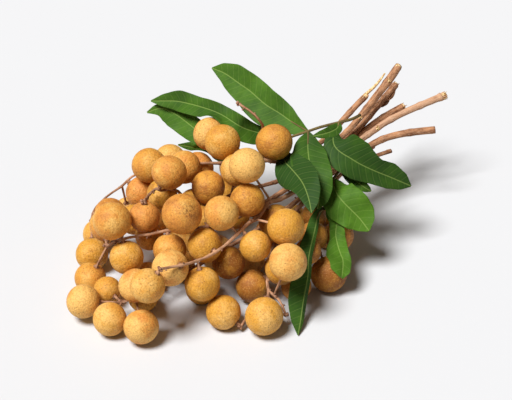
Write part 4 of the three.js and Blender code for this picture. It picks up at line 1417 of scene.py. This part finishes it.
@dataclass
class Skin:
    """Surfaces gathered for one piece: points in mm, faces, slots and numbers kept on points.

    The box is that of the CAD, in metres; no point is let out of it.
    """

    box: Array
    points: list = field(default_factory=list)
    faces: list = field(default_factory=list)
    slots: list = field(default_factory=list)
    marks: list = field(default_factory=list)
    count: int = 0

    def add(self, points: Array, tables: list, slots: tuple, **marks: Array | float) -> None:
        """Gathers one closed surface.

        Args:
            points: Its points, in mm.
            tables: Tables of point numbers, with three or four columns, one row for a face.
            slots: The material slot of each table's faces.
            **marks: Numbers kept on the points, under their names.
        """
        for table, slot in zip(tables, slots):
            self.faces.append(table + self.count)
            self.slots.append(np.full(len(table), slot))
        self.points.append(points)
        kept = {}
        for name, value in marks.items():
            kept[name] = value if np.ndim(value) == 2 else np.broadcast_to(value, len(points))
        self.marks.append(kept)
        self.count += len(points)

    def add_tube(self, line: Array, radii: Array, sides: int, slot: int, **marks: Array | float) -> None:
        """Gathers a closed tube along a line, with its grain.

        Args:
            line: Its middle line.
            radii: Its radius at each point, or a table with a radius for each side.
            sides: Points round it.
            slot: Its material slot.
            **marks: Numbers kept on the points, under their names.
        """
        surface, tables, grain = tube(line, radii, sides)
        self.add(surface, tables, (slot, slot), grain=grain, **marks)

    def build(self, name: str, materials: tuple) -> Piece:
        """Makes the piece around the CAD origin, in metres.

        Args:
            name: Its name.
            materials: Its finishes, in the order of its slots.

        Returns:
            The object.
        """
        points = np.clip((np.vstack(self.points) + SHIFT) * MM, self.box[0], self.box[1])
        totals = np.concatenate([np.full(len(table), table.shape[1]) for table in self.faces])
        corners = np.concatenate([table.ravel() for table in self.faces])
        starts = np.concatenate([[0], np.cumsum(totals)[:-1]])
        mesh = bpy.data.meshes.new(name)
        mesh.vertices.add(len(points))
        mesh.vertices.foreach_set("co", points.ravel())
        mesh.loops.add(len(corners))
        mesh.loops.foreach_set("vertex_index", corners.astype(np.int32))
        mesh.polygons.add(len(totals))
        mesh.polygons.foreach_set("loop_start", starts.astype(np.int32))
        mesh.polygons.foreach_set("loop_total", totals.astype(np.int32))
        mesh.polygons.foreach_set("material_index", np.concatenate(self.slots).astype(np.int32))
        mesh.polygons.foreach_set("use_smooth", np.ones(len(totals), bool))
        for mark in self.marks[0]:
            values = np.concatenate([entry[mark] for entry in self.marks]).astype(np.float32)
            kind, key = ("FLOAT_VECTOR", "vector") if values.ndim == 2 else ("FLOAT", "value")
            mesh.attributes.new(mark, kind, "POINT").data.foreach_set(key, values.ravel())
        mesh.update(calc_edges=True)
        mesh.validate()
        for material in materials:
            mesh.materials.append(material)
        piece = bpy.data.objects.new(name, mesh)
        bpy.context.collection.objects.link(piece)
        log.info("%s: %d points, %d faces", name, len(points), len(totals))
        return piece


def wrap_faces(rows: int, columns: int) -> Array:
    """Lists the four-cornered faces of a grid whose rows close on themselves."""
    a, b = (np.roll(np.arange(rows * columns).reshape(rows, columns), k, axis=1) for k in (0, -1))
    return np.stack([a[:-1], b[:-1], b[1:], a[1:]], axis=-1).reshape(-1, 4)


def fan(tip: int, first: int, columns: int, forward: bool) -> Array:
    """Lists the three-cornered faces from a tip to a closed row, forward or backward round it."""
    pair = [first + np.arange(columns), first + np.roll(np.arange(columns), -1)]
    return np.stack([np.full(columns, tip), *(pair if forward else pair[::-1])], axis=1)


def ring_of(sides: int, one: Array, two: Array) -> Array:
    """Spreads directions evenly round a circle from one towards two, on a new last axis but one."""
    angle = angles(sides)
    return np.cos(angle)[:, None] * one[..., None, :] + np.sin(angle)[:, None] * two[..., None, :]


def frames_along(points: Array) -> tuple[Array, Array, Array]:
    """Gives a line's direction and two square directions, with the least twist.

    Args:
        points: The line.

    Returns:
        The direction along it, and the two square directions.
    """
    numbers = np.arange(len(points))
    run = unit(points[np.minimum(numbers + 1, len(points) - 1)] - points[np.maximum(numbers - 1, 0)])
    upright = abs(run[0, 2]) >= 0.9
    side = np.array([1.0, 0.0, 0.0]) if upright else np.array([0.0, 0.0, 1.0])
    sides = np.empty_like(points)
    for k, direction in enumerate(run):
        side = unit(side - direction * (side @ direction))
        sides[k] = side
    return run, sides, np.cross(run, sides)


# how much a pattern in the wood's grain is drawn out lengthwise: mm along it in a mm across
GRAIN_STRETCH = 0.14


def tube(points: Array, radii: Array, sides: int) -> tuple[Array, list, Array]:
    """Carries a round profile along a line and closes both ends with a fan.

    Args:
        points: The line.
        radii: Its radius at each point, or a table with a radius for each side.
        sides: Points round the profile.

    Returns:
        The surface's points and its tables of faces, and each point's place in the wood's grain:
        across it in mm, and along it shortened so that a pattern is drawn out lengthwise.
    """
    _run, one, two = frames_along(points)
    rows = len(points)
    radii = np.broadcast_to(radii if radii.ndim == 2 else radii[:, None], (rows, sides))
    skin = points[:, None] + ring_of(sides, one, two) * radii[:, :, None]
    angle = angles(sides)
    along = (lengths_along(points) * GRAIN_STRETCH + points[0].sum())[:, None]
    along = np.broadcast_to(along, (rows, sides))
    grain = np.stack([radii * np.cos(angle), radii * np.sin(angle), along], axis=2).reshape(-1, 3)
    count = rows * sides
    ends = np.vstack([fan(count, 0, sides, False), fan(count + 1, count - sides, sides, True)])
    surface = np.vstack([skin.reshape(-1, 3), points[0], points[-1]])
    return surface, [wrap_faces(rows, sides), ends], np.vstack([grain, grain[:1], grain[-1:]])


@dataclass(frozen=True)
class Ripple:
    """A smooth uneven height over space: a sum of sine waves in seeded directions."""

    seed: int
    wave: float
    terms: int
    spread: tuple = (0.7, 1.4)
    phases: float = 6.3

    def at(self, points: Array) -> Array:
        """Works out the height.

        Args:
            points: The places.

        Returns:
            The height at each, about from -1 to 1.
        """
        rng = np.random.default_rng(self.seed)
        ways = unit(rng.normal(size=(self.terms, 3))) * 2 * math.pi / self.wave
        ways = ways * rng.uniform(*self.spread, (self.terms, 1))
        waves = np.sin(points @ ways.T + rng.uniform(0, self.phases, self.terms))
        return waves.sum(-1) / math.sqrt(self.terms)


@dataclass(frozen=True)
class FruitSurface:
    """The rind of one longan: nearly round, a little drawn in at the crown, and pebbled.

    Its radius is a share of the fruit's, less a share at the crown, and less another at both
    ends of a squat fruit, plus slow unevenness over the whole fruit and low pebbles in mm. Skew
    is a direction that no stalk has.
    """

    rows: int = 44
    columns: int = 64
    size: float = 0.984
    drawn_in: float = 0.03
    drawn_power: int = 10
    uneven: float = 0.011
    squat: float = 0.022
    squat_draw: tuple = (-0.3, 1.0)
    squat_zero: float = 0.4
    pebble: float = 0.05
    uneven_wave: float = 2.2
    pebble_wave: float = 2.3
    skew: tuple = (0.3, 0.5, 0.81)

    def surface(self, centre: Array, radius: float, crown: Array, seed: int) -> tuple[Array, list, Array]:
        """Works out the rind.

        Args:
            centre: The fruit's middle.
            radius: Its radius.
            crown: The direction of its stalk.
            seed: Draws its unevenness.

        Returns:
            Points, tables of faces, and each point's height towards the crown from -1 to 1.
        """
        one = unit(np.cross(crown, self.skew))
        two = np.cross(crown, one)
        polar = math.pi * np.arange(1, self.rows) / self.rows
        high, wide = np.cos(polar)[:, None, None], np.sin(polar)[:, None, None]
        directions = (high * crown + wide * ring_of(self.columns, one, two)).reshape(-1, 3)
        directions = np.vstack([directions, crown, -crown])
        towards = directions @ crown
        slow = Ripple(seed, self.uneven_wave, 6).at(directions)
        pebbles = Ripple(seed + 7, self.pebble_wave, 14).at(directions * radius)
        squat = self.squat * np.random.default_rng(seed).uniform(*self.squat_draw)
        drawn_in = self.drawn_in * np.maximum(towards, 0) ** self.drawn_power
        reach = self.size - drawn_in - squat * (towards**2 - self.squat_zero) + self.uneven * slow
        points = centre + directions * (radius * reach + self.pebble * pebbles)[:, None]
        points[:, 2] = np.maximum(points[:, 2], 0.0)
        count = (self.rows - 1) * self.columns
        top = fan(count, 0, self.columns, True)
        low = fan(count + 1, count - self.columns, self.columns, False)
        side = wrap_faces(self.rows - 1, self.columns)[:, ::-1]
        return points, [side, np.vstack([top, low])], towards


@dataclass(frozen=True)
class DryShoot:
    """A short dry shoot with a round profile, in mm, kept where its tip is clear."""

    radii: tuple
    sides: int
    length: tuple
    space: float
    floor_space: float = 1.0
    thick: float = 0.6

    def add(self, skin: Skin, heap: Heap, foot: Array, way: Array, length: float) -> None:
        """Adds the shoot, unless its tip is too near to the fruit or the floor.

        Args:
            skin: The surfaces it joins.
            heap: The fruit.
            foot: Where it starts.
            way: Its direction.
            length: Its length.
        """
        line = foot + way * np.linspace(0, length, len(self.radii))[:, None]
        if heap.space(line[-1]) >= self.space and line[-1][2] >= self.floor_space:
            radii = np.array(self.radii)
            skin.add_tube(line, radii, self.sides, Part.CALYX.value, thick=self.thick, tone=0.0)


@dataclass(frozen=True)
class Stubs:
    """Broken stalks along a twig: one every few points, some missing, none on the bare stems."""

    shoot: DryShoot = DryShoot((0.75, 0.62, 0.55, 0.66, 0.36), 7, (0.8, 2.6), 0.4)
    first: int = 4
    last: int = 3
    every: int = 5
    missing: float = 0.35
    bare_from: float = 50.0
    lean: float = 0.5

    def add(self, skin: Skin, heap: Heap, twig: tuple, seed: int) -> None:
        """Adds the stubs.

        Args:
            skin: The surfaces they join.
            heap: The fruit.
            twig: The twig's points and radii.
            seed: Draws their places and ways.
        """
        rng = np.random.default_rng(seed)
        points, radii = twig
        run, one, two = frames_along(points)
        for k in range(self.first, len(points) - self.last, self.every):
            if points[k][0] > self.bare_from or rng.uniform() < self.missing:
                continue
            turn = rng.uniform(0, 2 * math.pi)
            way = unit(math.cos(turn) * one[k] + math.sin(turn) * two[k] + self.lean * run[k])
            self.shoot.add(skin, heap, points[k], way, radii[k] + rng.uniform(*self.shoot.length))


@dataclass(frozen=True)
class Buds:
    """A small cluster of dry buds at a twig's tip."""

    shoot: DryShoot = DryShoot((0.6, 0.7, 0.85, 0.95, 0.55), 8, (1.6, 3.0), 0.5)
    count: int = 5
    onward: float = 0.5
    spread: float = 0.6

    def add(self, skin: Skin, heap: Heap, twig: Array, seed: int) -> None:
        """Adds the cluster.

        Args:
            skin: The surfaces it joins.
            heap: The fruit.
            twig: The twig's points.
            seed: Draws the buds' ways.
        """
        rng = np.random.default_rng(seed)
        way = unit(twig[-1] - twig[-2])
        for _ in range(self.count):
            turn = unit(way * self.onward + rng.normal(size=3) * self.spread)
            self.shoot.add(skin, heap, twig[-1], turn, rng.uniform(*self.shoot.length))


@dataclass(frozen=True)
class Calyx:
    """The dry calyx round a stalk's end: a low cup with lobes, in mm.

    Its heights are over the rind, which is sunk there to a share of the fruit's radius.
    """

    heights: tuple = (-0.9, 0.05, 0.35, 0.55, 0.75)
    widths: tuple = (1.4, 1.9, 1.75, 1.2, 0.7)
    sunk: float = 0.957
    lobes: int = 5
    lobe_depth: float = 0.16
    sides: int = 20
    thick: float = 0.6

    def add(self, skin: Skin, centre: Array, radius: float, crown: Array, turn: float) -> None:
        """Adds the calyx.

        Args:
            skin: The surfaces it joins.
            centre: The fruit's middle.
            radius: The fruit's radius.
            crown: The direction of the stalk.
            turn: How far its lobes are turned.
        """
        line = centre + crown * (radius * self.sunk + np.array(self.heights))[:, None]
        lobes = 1 + self.lobe_depth * np.cos(self.lobes * angles(self.sides)[None] + turn)
        table = np.array(self.widths)[:, None] * lobes
        skin.add_tube(line, table, self.sides, Part.CALYX.value, thick=self.thick, tone=0.0)


@dataclass
class CutEnd:
    """The cut end of a stem: bare wood, a frayed rim, and strips and knots beside it.

    Lengths are in mm; core and the places beside the stem are shares of its radius. A strip is
    a flattened tube, with a thickness that is a share of its width. Splinters and the tongue
    narrow to their tips, and a flake is widest in its middle. Skew is a direction that no stem
    has.
    """

    skin: Skin
    route: Route
    fray: Fray
    seed: int
    tone: float
    skew: tuple = (0.2, 0.4, 0.9)
    core: tuple = (0.9, 0.88, 0.86, 0.84, 0.8, 0.7)
    core_hidden: float = 1.0
    core_sides: int = 16
    strip_sides: int = 8
    strip_thick: float = 2.0
    splinter_back: float = 2.5
    splinter_jitter: float = 0.3
    splinter_width: float = 0.7
    splinter_flat: float = 0.5
    tongue_step: float = 2.0
    tongue_width: float = 1.25
    flake_bulge: float = 0.9
    flake_width: tuple = (1.2, 0.3)
    flake_flat: float = 0.3
    knot_radii: tuple = (1.15, 1.1, 0.95, 0.7)
    knot_heights: tuple = (0.0, 0.5, 0.8, 0.95)
    knot_sides: int = 12
    knot_lean: float = 0.9
    knot_foot: float = 0.35
    knot_splinters: int = 7
    knot_splinter_width: float = 0.55
    knot_splinter_flat: float = 0.6

    def _strip(self, line: Array, widths: Array, flat: float, part: Part) -> None:
        """Adds a flattened strip of wood or bark.

        Args:
            line: Its middle line.
            widths: Its half widths.
            flat: Its thickness over its width.
            part: Its finish.
        """
        wide = np.abs(np.sin(angles(self.strip_sides))) > 0.5
        table = widths[:, None] * np.where(wide, 1.0, flat)[None]
        marks = {"thick": self.strip_thick, "tone": self.tone}
        self.skin.add_tube(line, table, self.strip_sides, part.value, **marks)

    def _add_core(self, line: Array, radii: Array, sides: int) -> None:
        """Adds a round piece of bare wood."""
        marks = {"thick": self.route.radii[0], "tone": 0.0}
        self.skin.add_tube(line, radii, sides, Part.CUT.value, **marks)

    def build(self) -> None:
        """Adds the core, the splinters round it, the tongue, the flakes and the knots."""
        rng = np.random.default_rng(self.seed)
        fray, start, wide = self.fray, self.route.points[0], self.route.radii[0]
        out = unit(start - self.route.points[2])
        reach = fray.torn + self.core_hidden
        line = start - out * reach + out * np.linspace(0, reach, len(self.core))[:, None]
        self._add_core(line, np.array(self.core) * wide, self.core_sides)
        one = unit(np.cross(out, self.skew))
        two = np.cross(out, one)
        t = np.linspace(0, 1, 9)[:, None]
        back = fray.torn + self.splinter_back
        for number in range(fray.splinters):
            jitter = rng.uniform(-self.splinter_jitter, self.splinter_jitter)
            turn = 2 * math.pi * (number + jitter) / fray.splinters
            rim = math.cos(turn) * one + math.sin(turn) * two
            length = back + fray.length * rng.uniform(-1.0, 1.0)
            line = start + rim * wide * 0.8 + out * (length * t - back) + rim * fray.spread * t**2
            widths = self.splinter_width * (1 - 0.7 * t[:, 0] ** 1.5)
            self._strip(line, widths, self.splinter_flat, Part.CUT if number % 3 else Part.BARK)
        if fray.tongue:
            depth = float(PLANE.seen_at(start)[2])
            line = spline([PLANE.place(*place, depth) for place in fray.tongue], self.tongue_step)
            widths = self.tongue_width * (1 - 0.6 * np.linspace(0, 1, len(line)) ** 2)
            self._strip(line, widths, self.splinter_flat, Part.CUT)
        for behind, length, turn in fray.flakes:
            rim = math.cos(turn) * one + math.sin(turn) * two
            line = start - out * behind + rim * wide * 0.85 + out * length * (t - 1)
            line = line + rim * self.flake_bulge * np.sin(math.pi * t) ** 2
            middle, ends = self.flake_width
            widths = middle * np.sin(math.pi * (0.06 + 0.9 * t[:, 0])) + ends
            self._strip(line, widths, self.flake_flat, Part.BARK)

    def add_knot(self, stem: tuple, across: float, down: float, size: float) -> None:
        """Adds a pale broken knot on the stem's near side: a short core ringed by splinters.

        Args:
            stem: The stem's points and radii.
            across: Where it is seen across the picture.
            down: Where it is seen down the picture.
            size: Its radius in mm.
        """
        points, radii = stem
        u, v, _depth = PLANE.seen_at(points)
        nearest = int(np.hypot(u - across, v - down).argmin())
        wide = radii[nearest]
        run = unit(points[max(nearest - 1, 0)] - points[nearest + 1])
        way = unit(PLANE.near + self.knot_lean * run)
        foot = points[nearest] + way * wide * self.knot_foot
        one = unit(np.cross(way, run))
        two = np.cross(way, one)
        line = foot + way * (wide * np.array(self.knot_heights))[:, None]
        self._add_core(line, np.array(self.knot_radii) * size, self.knot_sides)
        t = np.linspace(0, 1, 6)[:, None]
        widths = self.knot_splinter_width * (1 - 0.5 * t[:, 0])
        for turn in angles(self.knot_splinters):
            rim = math.cos(turn) * one + math.sin(turn) * two
            line = foot + rim * size + way * wide * (0.2 + 0.9 * t) + rim * 0.25 * t
            part = Part.CUT if math.sin(5 * turn) > 0 else Part.BARK
            self._strip(line, widths, self.knot_splinter_flat, part)


@dataclass
class BranchPiece:
    """One woody branch with its fruit: the rinds are one object and the wood another.

    The bark swells at knots, more on thin wood, at a torn end and where a stalk meets its fruit,
    and it has low ridges along it. Lengths are in mm, and swellings are shares of the radius.
    """

    number: int
    routes: list
    stalks: list
    heap: Heap
    rind: Material
    wood: tuple
    box: Array
    step: float = 1.5
    sides: int = 12
    thick_from: float = 1.4
    knot_swell: tuple = (0.12, 0.24)
    knot_reach: float = 1.9
    flare_reach: float = 2.2
    foot_swell: float = 0.9
    foot_reach: float = 0.9
    rough: float = 0.018
    ridges: tuple = (0.04, 0.03)
    rind_seed: int = 100
    bark_seed: int = 31
    end_seed: int = 400
    twig_seed: int = 70
    stem_seed: int = 50

    @property
    def node(self) -> str:
        """The CAD node that this branch replaces."""
        return BRANCHES[self.number].name

    def _crown(self, stalk: Route) -> tuple[Array, float, Array]:
        """Gives a stalk's fruit: its middle, its radius and the direction of the stalk."""
        centre = self.heap.centres[stalk.fruit]
        return centre, self.heap.radii[stalk.fruit], unit(stalk.points[-2] - centre)

    def build_fruit(self) -> Piece:
        """Makes all the branch's fruit.

        A fruit without a tone or warmth of its own gets one by a rule, from its number.

        Returns:
            The object.
        """
        skin = Skin(self.box)
        surface = FruitSurface()
        for route in self.stalks:
            fruit = route.fruit
            centre, radius, crown = self._crown(route)
            points, tables, towards = surface.surface(centre, radius, crown, self.rind_seed + fruit)
            scar = np.zeros(len(points))
            if fruit == SCARRED_FRUIT:
                across, down, _depth = PLANE.seen_at(points)
                far = np.hypot(across - SCAR_PLACE[0], down - SCAR_PLACE[1])
                scar = np.exp(-((far / SCAR_REACH) ** 4)) * ((points - centre) @ PLANE.near > 0)
            # a high tone browns the fruit; on fruit that lie in shade this brown is partly painted shade
            tone = FRUIT_BROWN_AND_SHADE.get(fruit, 0.16 + 0.4 * ((fruit * 37) % 11) / 10)
            warm = WARMTH.get(fruit, ((fruit * 29) % 13) / 16)
            skin.add(points, tables, (0, 0), tone=tone, warm=warm, crown=towards, scar=scar)
        piece = skin.build(self.node + "_fruit", (self.rind,))
        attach(piece, "root")
        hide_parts(self.node)
        return piece

    def _bark(self, skin: Skin, route: Route, knots: list, torn: float = 0.0, flare: float = 0.0) -> None:
        """Adds one route's bark.

        Args:
            skin: The surfaces it joins.
            route: The route.
            knots: Places of the knots.
            torn: Length at its start that has lost its bark, in mm.
            flare: How much wider than the stem the torn bark ends.
        """
        points, radii = route.drawn(self.step)
        share = np.linspace(0, 1, len(points))
        if knots:
            far = np.linalg.norm(points[:, None] - np.array(knots)[None], axis=2).min(1)
            swell = np.where(radii > self.thick_from, *self.knot_swell)
            radii = radii * (1 + swell * np.exp(-((far / self.knot_reach) ** 2)))
        if torn:
            behind = np.arange(len(points)) * self.step - torn
            radii = radii * (1 + flare * np.exp(-((behind / self.flare_reach) ** 2)))
            first = round(torn / self.step)
            points, radii, share = points[first:], radii[first:], share[first:]
        if route.fruit >= 0:
            centre, radius, _crown = self._crown(route)
            out = np.maximum(np.linalg.norm(points - centre, axis=1) - radius, 0)
            radii = radii * (1 + self.foot_swell * np.exp(-((out / self.foot_reach) ** 2)))
        angle = angles(self.sides)[None]
        rough = self.rough * Ripple(self.number + self.bark_seed, 9.0, 12).at(points)[:, None]
        broad, narrow = self.ridges
        ridges = broad * np.sin(3 * angle + 5 * share[:, None]) + narrow * np.sin(5 * angle + 4.0)
        table = radii[:, None] * (1 + rough + ridges)
        thick = np.concatenate([np.repeat(radii, self.sides), [radii[0], radii[-1]]])
        tone = BARK_TONES[self.number]
        skin.add_tube(points, table, self.sides, Part.BARK.value, thick=thick, tone=tone)

    def build_wood(self) -> Piece:
        """Makes the branch's stem, twigs, stalks, stubs, buds and calyxes.

        Returns:
            The object.
        """
        skin = Skin(self.box)
        stem, fray = self.routes[0], FRAYS[self.number]
        forks = [route.points[0] for route in self.stalks + self.routes[1:]]
        self._bark(skin, stem, forks + list(stem.points[4::5]), fray.torn, fray.flare)
        end = CutEnd(skin, stem, fray, self.end_seed + self.number, BARK_TONES[self.number])
        end.build()
        for knot in fray.knots:
            end.add_knot(stem.drawn(self.step), *knot)
        for number, twig in enumerate(self.routes[1:]):
            self._bark(skin, twig, forks)
            seed = self.twig_seed + 10 * self.number + number
            Stubs().add(skin, self.heap, twig.drawn(self.step), seed)
        Stubs().add(skin, self.heap, stem.drawn(self.step), self.stem_seed + self.number)
        for number, route in enumerate(self.routes):
            Buds().add(skin, self.heap, route.points, 20 * self.number + number)
        for stalk in self.stalks:
            self._bark(skin, stalk, [])
            Calyx().add(skin, *self._crown(stalk), stalk.fruit)
        piece = skin.build(self.node + "_wood", self.wood)
        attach(piece, "root")
        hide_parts(self.node)
        return piece


@dataclass
class CompoundLeaf:
    """A leaf stalk with its leaflets, as two thin-edged faces joined at the rim.

    Lengths are in mm. The blade thins towards its rim; the midrib stands out below, thinner
    towards the tip, and side veins are pressed in from above.
    """

    plan: LeafStalk
    stalk: Route
    blades: list
    finishes: tuple
    box: Array
    veins: Veins = Veins()
    fine: int = 5
    thick: float = 0.42
    thinned: float = 0.55
    rib_height: tuple = (0.55, 0.12)
    rib_width: float = 0.75
    rib_out: float = 0.8
    rib_in: float = 0.18
    quilt: float = 0.028
    flat_near_rib: float = 2.0
    floor_gap: float = 0.05
    foot_radii: tuple = (0.85, 0.45)
    stalk_share: float = 0.97

    def _refine(self, table: Array) -> Array:
        """Draws smooth lines along the first axis of a table of points.

        Args:
            table: The points, two rows or more.

        Returns:
            The points with each span cut into even pieces.
        """
        p = np.concatenate([2 * table[:1] - table[1:2], table, 2 * table[-1:] - table[-2:-1]])
        t = (np.arange(self.fine) / self.fine).reshape(1, -1, 1, 1)
        a, b, c, d = (p[k : len(p) - 3 + k][:, None] for k in range(4))
        return np.concatenate([cubic(a, b, c, d, t).reshape(-1, *table.shape[1:]), table[-1:]])

    def _rim(self, rows: int, columns: int) -> Array:
        """Lists the faces that join the rims of two like grids, numbered one after the other.

        Args:
            rows: Rows of a grid.
            columns: Columns of a grid.

        Returns:
            A table of point numbers.
        """
        count = rows * columns
        first, last = np.arange(columns), np.arange(rows) * columns + columns - 1
        back, home = first[::-1] + count - columns, np.arange(rows)[::-1] * columns
        loop = np.concatenate([first[:-1], last[:-1], back[:-1], home[:-1]])
        after = np.roll(loop, -1)
        return np.stack([loop, loop + count, after + count, after], axis=1)

    def _blade(self, skin: Skin, tone: float, coarse: Array) -> None:
        """Adds one leaflet: two faces, half the thickness each side of its grid.

        Args:
            skin: The surfaces it joins.
            tone: How fresh its green is, from 0 to 1.
            coarse: Its cleared grid.
        """
        grid = self._refine(self._refine(coarse).swapaxes(0, 1)).swapaxes(0, 1)
        rows, columns = grid.shape[:2]
        normal = unit(np.cross(np.gradient(grid, axis=1), np.gradient(grid, axis=0)))
        middle = columns // 2
        length = lengths_along(grid[:, middle])
        steps = np.linalg.norm(np.diff(grid, axis=1), axis=2)
        across = np.concatenate([np.zeros((rows, 1)), np.cumsum(steps, axis=1)], axis=1)
        across = across - across[:, middle : middle + 1]
        along = np.broadcast_to(length[:, None], across.shape)
        share = np.abs(np.linspace(-1, 1, columns))[None]
        body = self.thick / 2 * (1 - self.thinned * share**6) * np.ones((rows, 1))
        high, low = self.rib_height
        rib = high * (1 - length / length[-1]) + low
        rib = rib[:, None] * np.exp(-((across / self.rib_width) ** 2))
        waves = np.cos(2 * math.pi * (self.veins.run(along, across) / self.veins.spacing - 0.5))
        calm = np.minimum(1, np.abs(across) / self.flat_near_rib)
        quilt = self.quilt * waves * calm * (1 - share**4)
        upper = grid + normal * (body - rib * self.rib_in - quilt)[:, :, None]
        under = grid + normal * (-(body + rib * self.rib_out) - quilt)[:, :, None]
        points = np.vstack([upper.reshape(-1, 3), under.reshape(-1, 3)])
        points[:, 2] = np.maximum(points[:, 2], self.floor_gap)
        i, j = np.meshgrid(np.arange(rows - 1), np.arange(columns - 1), indexing="ij")
        a = (i * columns + j).ravel()
        top = np.stack([a, a + 1, a + columns + 1, a + columns], axis=1)
        tables = [top, top[:, ::-1] + rows * columns, self._rim(rows, columns)]
        slots = (LeafPart.UPPER.value, LeafPart.UNDER.value, LeafPart.UNDER.value)
        marks = {"along": np.tile(along.ravel(), 2), "across": np.tile(across.ravel(), 2)}
        skin.add(points, tables, slots, **marks, thick=1.0, grain=np.zeros((len(points), 3)), tone=tone)

    def build(self) -> Piece:
        """Makes the compound leaf.

        Returns:
            The object.
        """
        skin = Skin(self.box)
        slot = LeafPart.STALK.value
        flat = {"along": 0.0, "across": 0.0, "tone": 0.0}
        for tone, grid in zip(LEAF_TONES[self.plan.name], self.blades):
            self._blade(skin, tone, grid)
            foot = spline(grid[[0, 2, 4], ACROSS // 2], 1.0)
            skin.add_tube(foot, np.linspace(*self.foot_radii, len(foot)), 10, slot, thick=1.0, **flat)
        points, radii = self.stalk.drawn(1.5)
        skin.add_tube(points, radii * self.stalk_share, 12, slot, thick=1.2, **flat)
        piece = skin.build(self.plan.name + "_blades", self.finishes)
        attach(piece, "root")
        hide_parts(self.plan.name)
        return piece


@dataclass
class Studio:
    """The pale floor, the soft lights and the camera at the picture's angle.

    The floor lies a little under the fruit, and its size and the step are in metres.
    """

    floor_size: float = 3.0
    floor_step: float = 0.0001
    floor_tint: tuple = (0.62, 0.62, 0.624, 1.0)
    sensor: float = 36.0
    picture_width: int = 512
    high_light: float = 4.95
    softness: float = math.radians(24.0)
    light_from: tuple = (-0.45, -0.34, 1.0)
    light_tint: tuple = (0.985, 1.0, 1.02)
    sky_light: float = 0.14
    sky_tint: tuple = (1.0, 0.84, 0.70, 1.0)

    def floor(self) -> None:
        """Lays the smooth floor."""
        half, z = self.floor_size / 2, -self.floor_step
        mesh = bpy.data.meshes.new("pale_floor")
        corners = [(-half, -half, z), (half, -half, z), (half, half, z), (-half, half, z)]
        mesh.from_pydata(corners, [], [(0, 1, 2, 3)])
        mesh.materials.append(Nodes("pale_floor").finish(self.floor_tint, 0.9, 0.1))
        plane = bpy.data.objects.new("pale_floor", mesh)
        bpy.context.collection.objects.link(plane)
        plane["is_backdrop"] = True

    @staticmethod
    def _aim(item: Piece, place: Array, target: Array) -> None:
        """Puts an item at a place, looking at a target, with its top up.

        Args:
            item: The lamp or camera.
            place: Where it stands.
            target: What it looks at.
        """
        back = unit(place - target)
        right = unit(np.cross([0.0, 0.0, 1.0], back))
        matrix = np.eye(4)
        matrix[:3] = np.stack([right, np.cross(back, right), back, place], axis=1)
        item.matrix_world = Matrix(matrix.tolist())

    def lights(self) -> None:
        """Sets a soft high light from the left and the sky's weaker warm light."""
        lamp = bpy.data.lights.new("high_light", "SUN")
        lamp.energy = self.high_light
        lamp.angle = self.softness
        lamp.color = self.light_tint
        item = bpy.data.objects.new("high_light", lamp)
        bpy.context.collection.objects.link(item)
        self._aim(item, np.array(self.light_from), np.zeros(3))
        world = bpy.data.worlds.new("studio_sky")
        world.use_nodes = True
        sky = world.node_tree.nodes["Background"]
        sky.inputs["Color"].default_value = self.sky_tint
        sky.inputs["Strength"].default_value = self.sky_light
        bpy.context.scene.world = world
        bpy.context.scene.view_settings.view_transform = "Standard"

    def camera(self) -> None:
        """Sets the camera where the picture was taken from."""
        lens = bpy.data.cameras.new("camera")
        lens.sensor_width = self.sensor
        lens.lens = PLANE.distance / PLANE.mm_per_unit / self.picture_width * self.sensor
        item = bpy.data.objects.new("camera", lens)
        bpy.context.collection.objects.link(item)
        self._aim(item, (PLANE.eye + SHIFT) * MM, (np.array(PLANE.target) + SHIFT) * MM)
        bpy.context.scene.camera = item


def main() -> None:
    """Builds the bunch around its CAD frame."""
    logging.basicConfig(level=logging.INFO, format="%(message)s")
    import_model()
    cad_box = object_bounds()
    box = np.array([list(corner) for corner in cad_box])
    studio = Studio()
    studio.camera()
    studio.lights()
    studio.floor()

    heap = Heap()
    heap.settle()
    work = Branchwork(heap)
    work.lay_branches()
    HiddenFruit().fill(heap, work.wires)
    work.grow_stalks()
    foliage = Foliage(heap, work.wires)
    foliage.grow()
    log.info("laid out %d fruit and %d branches", len(heap.centres), len(work.routes))

    rind = RindFinish().material()
    wood = tuple(finish.material() for finish in (BarkFinish(), CUT_WOOD, CALYX))
    for number, routes in enumerate(work.routes):
        stalks = [route for branch, route in work.stalks if branch == number]
        piece = BranchPiece(number, routes, stalks, heap, rind, wood, box)
        piece.build_fruit()
        piece.build_wood()
    leaf = tuple(finish.material() for finish in (UPPER_FACE, UNDER_FACE, GREEN_STALK))
    for plan, route, blades in foliage.stalks:
        CompoundLeaf(plan, route, blades, leaf, box).build()


if __name__ == "__main__":
    main()
